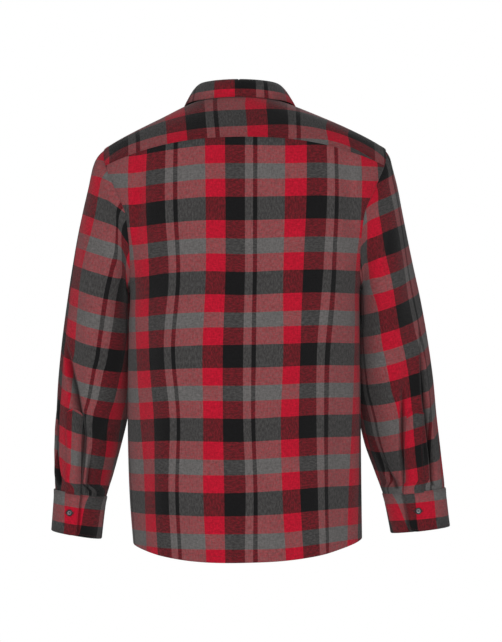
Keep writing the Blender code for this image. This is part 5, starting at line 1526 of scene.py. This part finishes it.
def sew(name, lines, thread, pitch=STITCH_PITCH, length=STITCH_LENGTH, width=THREAD, turn=0.0):
    """A plain mesh of stitches along the lines."""
    guide = add_object(name + "_guide", line_mesh(name + "_guide", lines))
    maker = guide.modifiers.new("stitches", "NODES")
    maker.node_group = STITCHES
    values = {"Pitch": pitch, "Length": length, "Thread": width, "Turn": turn,
              "Thread material": thread}
    for item in STITCHES.interface.items_tree:
        if item.in_out == "INPUT" and item.name in values:
            maker[item.identifier] = values[item.name]
    mesh = evaluated_mesh(guide)
    mesh.name = name
    bpy.data.objects.remove(guide, do_unlink=True)
    return add_object(name, mesh)


# ---- buttons and buttonholes ----
# radius and height round a button's section, from the middle of its face to the middle of its back
BUTTON_PROFILE = (
    (0.0, 0.00115), (0.0026, 0.00115), (0.0031, 0.00125), (0.0036, 0.00190), (0.0042, 0.00225),
    (0.0048, 0.00225), (0.0053, 0.00195), (0.0056, 0.00135), (0.0054, 0.00060), (0.0046, 0.00010),
    (0.0, 0.0),
)
BUTTON_HEIGHT = 0.0024
BUTTON_TURN_STEPS = 40
BUTTON_SHARP_DEGREES = 40.0
DISH_REACH = (0.0030, 0.0038)
HOLE_OFFSET = 0.00115
HOLE_RADIUS = 0.00062
HOLE_DRILL_LENGTH = 0.006
SHANK_THREAD = 0.00055
SHANK_HEIGHT = 0.00125
BUTTONHOLE_LENGTH = 0.0150
BUTTONHOLE_HALF_WIDTH = 0.0011
CROSSWISE_HOLES = ("button_cuff_left", "button_cuff_right", "button_collar")


def mesh_of(name, scratch):
    """A mesh from finished bmesh work."""
    mesh = bpy.data.meshes.new(name)
    scratch.to_mesh(mesh)
    scratch.free()
    return mesh


def button_blank():
    """Turned button lying on its face: dished middle, round rim and four holes."""
    turning = bmesh.new()
    verts = [turning.verts.new((radius, 0.0, height)) for radius, height in BUTTON_PROFILE]
    edges = [turning.edges.new(pair) for pair in zip(verts[:-1], verts[1:])]
    bmesh.ops.spin(turning, geom=verts + edges, cent=(0.0, 0.0, 0.0), axis=(0.0, 0.0, 1.0),
                   angle=math.tau, steps=BUTTON_TURN_STEPS, use_duplicate=False)
    bmesh.ops.remove_doubles(turning, verts=list(turning.verts), dist=0.00001)
    bmesh.ops.recalc_face_normals(turning, faces=list(turning.faces))
    blank = add_object("button_blank", mesh_of("button_blank", turning))
    drill = bmesh.new()
    for across, up in ((-1.0, -1.0), (-1.0, 1.0), (1.0, -1.0), (1.0, 1.0)):
        made = bmesh.ops.create_cone(drill, cap_ends=True, segments=HOLE_SIDES, radius1=HOLE_RADIUS,
                                     radius2=HOLE_RADIUS, depth=HOLE_DRILL_LENGTH)
        bmesh.ops.translate(drill, verts=made["verts"],
                            vec=(across * HOLE_OFFSET, up * HOLE_OFFSET, 0.0))
    tool = add_object("button_drill", mesh_of("button_drill", drill))
    cut = blank.modifiers.new("holes", "BOOLEAN")
    cut.operation = "DIFFERENCE"
    cut.solver = "EXACT"
    cut.object = tool
    drilled = evaluated_mesh(blank)
    for used in (blank, tool):
        bpy.data.objects.remove(used, do_unlink=True)
    # mask of the dish, where the button's material paints its highlight
    away = np.array([math.hypot(vert.co.x, vert.co.y) for vert in drilled.vertices])
    dish = 1.0 - smooth_step((away - DISH_REACH[0]) / (DISH_REACH[1] - DISH_REACH[0]))
    keep_values(drilled, "dish", dish)
    return drilled


def thread_cross():
    """Two crossed rounds of thread through a button's holes."""
    cross = bmesh.new()
    length = 2.0 * HOLE_OFFSET * math.sqrt(2.0) + HOLE_RADIUS
    size = Matrix.Diagonal((length, SHANK_THREAD, SHANK_THREAD * 1.2, 1.0))
    for angle in (45.0, 135.0):
        for beside in (-0.5, 0.5):
            made = bmesh.ops.create_uvsphere(cross, u_segments=8, v_segments=6, radius=0.5)
            turn = Matrix.Rotation(math.radians(angle), 4, "Z")
            move = Matrix.Translation((0.0, beside * SHANK_THREAD, SHANK_HEIGHT))
            bmesh.ops.transform(cross, matrix=turn @ move @ size, verts=made["verts"])
    return cross


def button_seat(name):
    """Matrix that sets a button flat on its node's back, facing the way its widest side does."""
    guess = Vector((0.0, -1.0, 0.0) if "cuff" in name else (0.0, 1.0, 0.0))
    total = Vector((0.0, 0.0, 0.0))
    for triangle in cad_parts[name].data.polygons:
        total += triangle.normal * triangle.area * max(0.0, triangle.normal.dot(guess)) ** 6
    facing = total.normalized().normalized()
    low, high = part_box(name)
    turned = facing.to_track_quat("Z", "Y").to_matrix().to_4x4()
    return Matrix.Translation((low + high) / 2.0 - facing * (BUTTON_HEIGHT / 2.0)) @ turned


def dress_button(name, seat, blank, resin, thread):
    """A turned button on its seat, and the thread that holds it."""
    mesh = blank.copy()
    mesh.name = name + "_turned"
    mesh.transform(seat)
    mesh.materials.clear()
    button = add_object(name + "_turned", mesh, resin)
    mesh.set_sharp_from_angle(angle=math.radians(BUTTON_SHARP_DEGREES))
    cross = thread_cross()
    bmesh.ops.transform(cross, matrix=seat, verts=list(cross.verts))
    return button, add_object(name + "_thread", mesh_of(name + "_thread", cross), thread)


def buttonhole_lines(seat, angle):
    """Two long sides of a buttonhole in the cloth below a button."""
    lines = []
    place = seat @ Matrix.Rotation(angle, 4, "Z")
    steps = np.linspace(-0.5, 0.5, BUTTONHOLE_POINTS)
    facing = np.tile(np.array(seat.to_3x3() @ Vector((0.0, 0.0, 1.0))), (len(steps), 1))
    for beside in (-BUTTONHOLE_HALF_WIDTH, BUTTONHOLE_HALF_WIDTH):
        points = [place @ Vector((step * BUTTONHOLE_LENGTH, beside, -LAY_GAP)) for step in steps]
        lines.append((np.array(points), facing))
    return lines


# ---- light, floor and camera ----
WHITE = (1.0, 1.0, 1.0, 1.0)
WORLD_STRENGTH = 0.24
FLOOR_HEIGHT = -1.45
FLOOR_REACH = 4.0
FLOOR_TONE = (0.86, 0.86, 0.86, 1.0)
LIGHT_TARGET = Vector((0.0, 0.0, -0.35))
# name, place, size and power
LIGHTS = (("key", (-0.9, -3.9, 0.35), 1.6, 62.0), ("fill", (0.8, -3.9, -0.1), 1.6, 46.0),
          ("front_fill", (0.3, 3.4, 0.9), 2.4, 44.0))
CAMERA_LENS = 155.4
CAMERA_PLACE = (0.010, -4.6, -0.3537)


def set_studio():
    scene = bpy.context.scene
    scene.view_settings.view_transform = "Standard"
    world = bpy.data.worlds.new("studio")
    world.use_nodes = True
    tree = world.node_tree
    lit = tree.nodes["Background"]
    plug(tree, lit, {"Color": WHITE, "Strength": WORLD_STRENGTH})
    seen = node(tree, "ShaderNodeBackground", {"Color": WHITE})
    path = node(tree, "ShaderNodeLightPath").outputs["Is Camera Ray"]
    choose = node(tree, "ShaderNodeMixShader", {"Fac": path, 1: lit.outputs[0], 2: seen.outputs[0]})
    plug(tree, tree.nodes["World Output"], {"Surface": choose.outputs[0]})
    scene.world = world
    for name, place, size, power in LIGHTS:
        data = bpy.data.lights.new(name, "AREA")
        data.energy = power
        data.shape = "RECTANGLE"
        data.size = data.size_y = size
        lamp = add_object(name, data)
        lamp.location = place
        lamp.rotation_euler = (LIGHT_TARGET - Vector(place)).to_track_quat("-Z", "Y").to_euler()
    mesh = bpy.data.meshes.new("studio_floor")
    corners = [(x * FLOOR_REACH, y * FLOOR_REACH, FLOOR_HEIGHT)
               for x, y in ((-1, -1), (1, -1), (1, 1), (-1, 1))]
    mesh.from_pydata(corners, [], [(0, 1, 2, 3)])
    pale, tree, shader = blank_material("pale_floor")
    plug(tree, shader, {"Base Color": FLOOR_TONE, "Roughness": 0.9})
    add_object("studio_floor", mesh, pale)


def set_camera():
    data = bpy.data.cameras.new("camera")
    data.sensor_width = 36.0
    data.lens = CAMERA_LENS
    data.clip_end = 50.0
    camera = add_object("camera", data)
    camera.location = CAMERA_PLACE
    camera.rotation_euler = (math.radians(90.0), 0.0, 0.0)
    bpy.context.scene.camera = camera


# ---- the whole shirt ----
def attach(piece, slot, *nodes):
    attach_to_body(piece, "root")
    if nodes:
        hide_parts(*nodes)


def dress_shirt():
    panels = [(dress_back(), "flannel_body", "back"), (dress_yoke(), "flannel_yoke", "yoke")]
    for part, dress, slot in (("front", dress_front, "flannel_body"),
                              ("sleeve", dress_sleeve, "flannel_sleeve"),
                              ("cuff", dress_cuff, "flannel_trim"),
                              ("sleeve_placket", dress_sleeve_placket, "flannel_trim")):
        panels += [(dress(side), slot, f"{part}_{SIDE_NAMES[side]}") for side in (LEFT, RIGHT)]
    panels += [(dress_placket(), "flannel_trim", "placket_front"),
               (dress_stand(), "flannel_trim", "collar_stand"),
               (dress_fall(), "flannel_trim", "collar_fall")]
    seam_lines = {"body": [], "trim": []}
    for (piece, lines), slot, part in panels:
        attach(piece, slot, part)
        seam_lines["trim" if slot == "flannel_trim" else "body"].extend(lines)
    thread = thread_material("sewing_thread", 2600.0, (66, 22, 28), (112, 42, 50), 0.7)
    for group in ("body", "trim"):
        attach(sew("stitches_" + group, seam_lines[group], thread), "flannel_" + group)
    blank = button_blank()
    resin = button_material()
    dark = thread_material("dark_thread", 3200.0, (24, 24, 26), (62, 60, 62), 0.75)
    hole_lines = []
    for name in sorted(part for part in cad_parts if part.startswith("button_")):
        seat = button_seat(name)
        button, cross = dress_button(name, seat, blank, resin, dark)
        attach(button, "button_resin", name)
        attach(cross, "button_resin")
        hole_lines += buttonhole_lines(seat, math.radians(0.0 if name in CROSSWISE_HOLES else 90.0))
    attach(sew("buttonholes", hole_lines, dark, pitch=0.0006, length=0.0016, width=0.0005,
               turn=math.radians(90.0)), "flannel_trim")
    bpy.data.meshes.remove(blank)


STITCHES = stitch_tree()
GROUPS = (plaid_group(), twill_group(), nap_group())
dress_shirt()
set_studio()
set_camera()
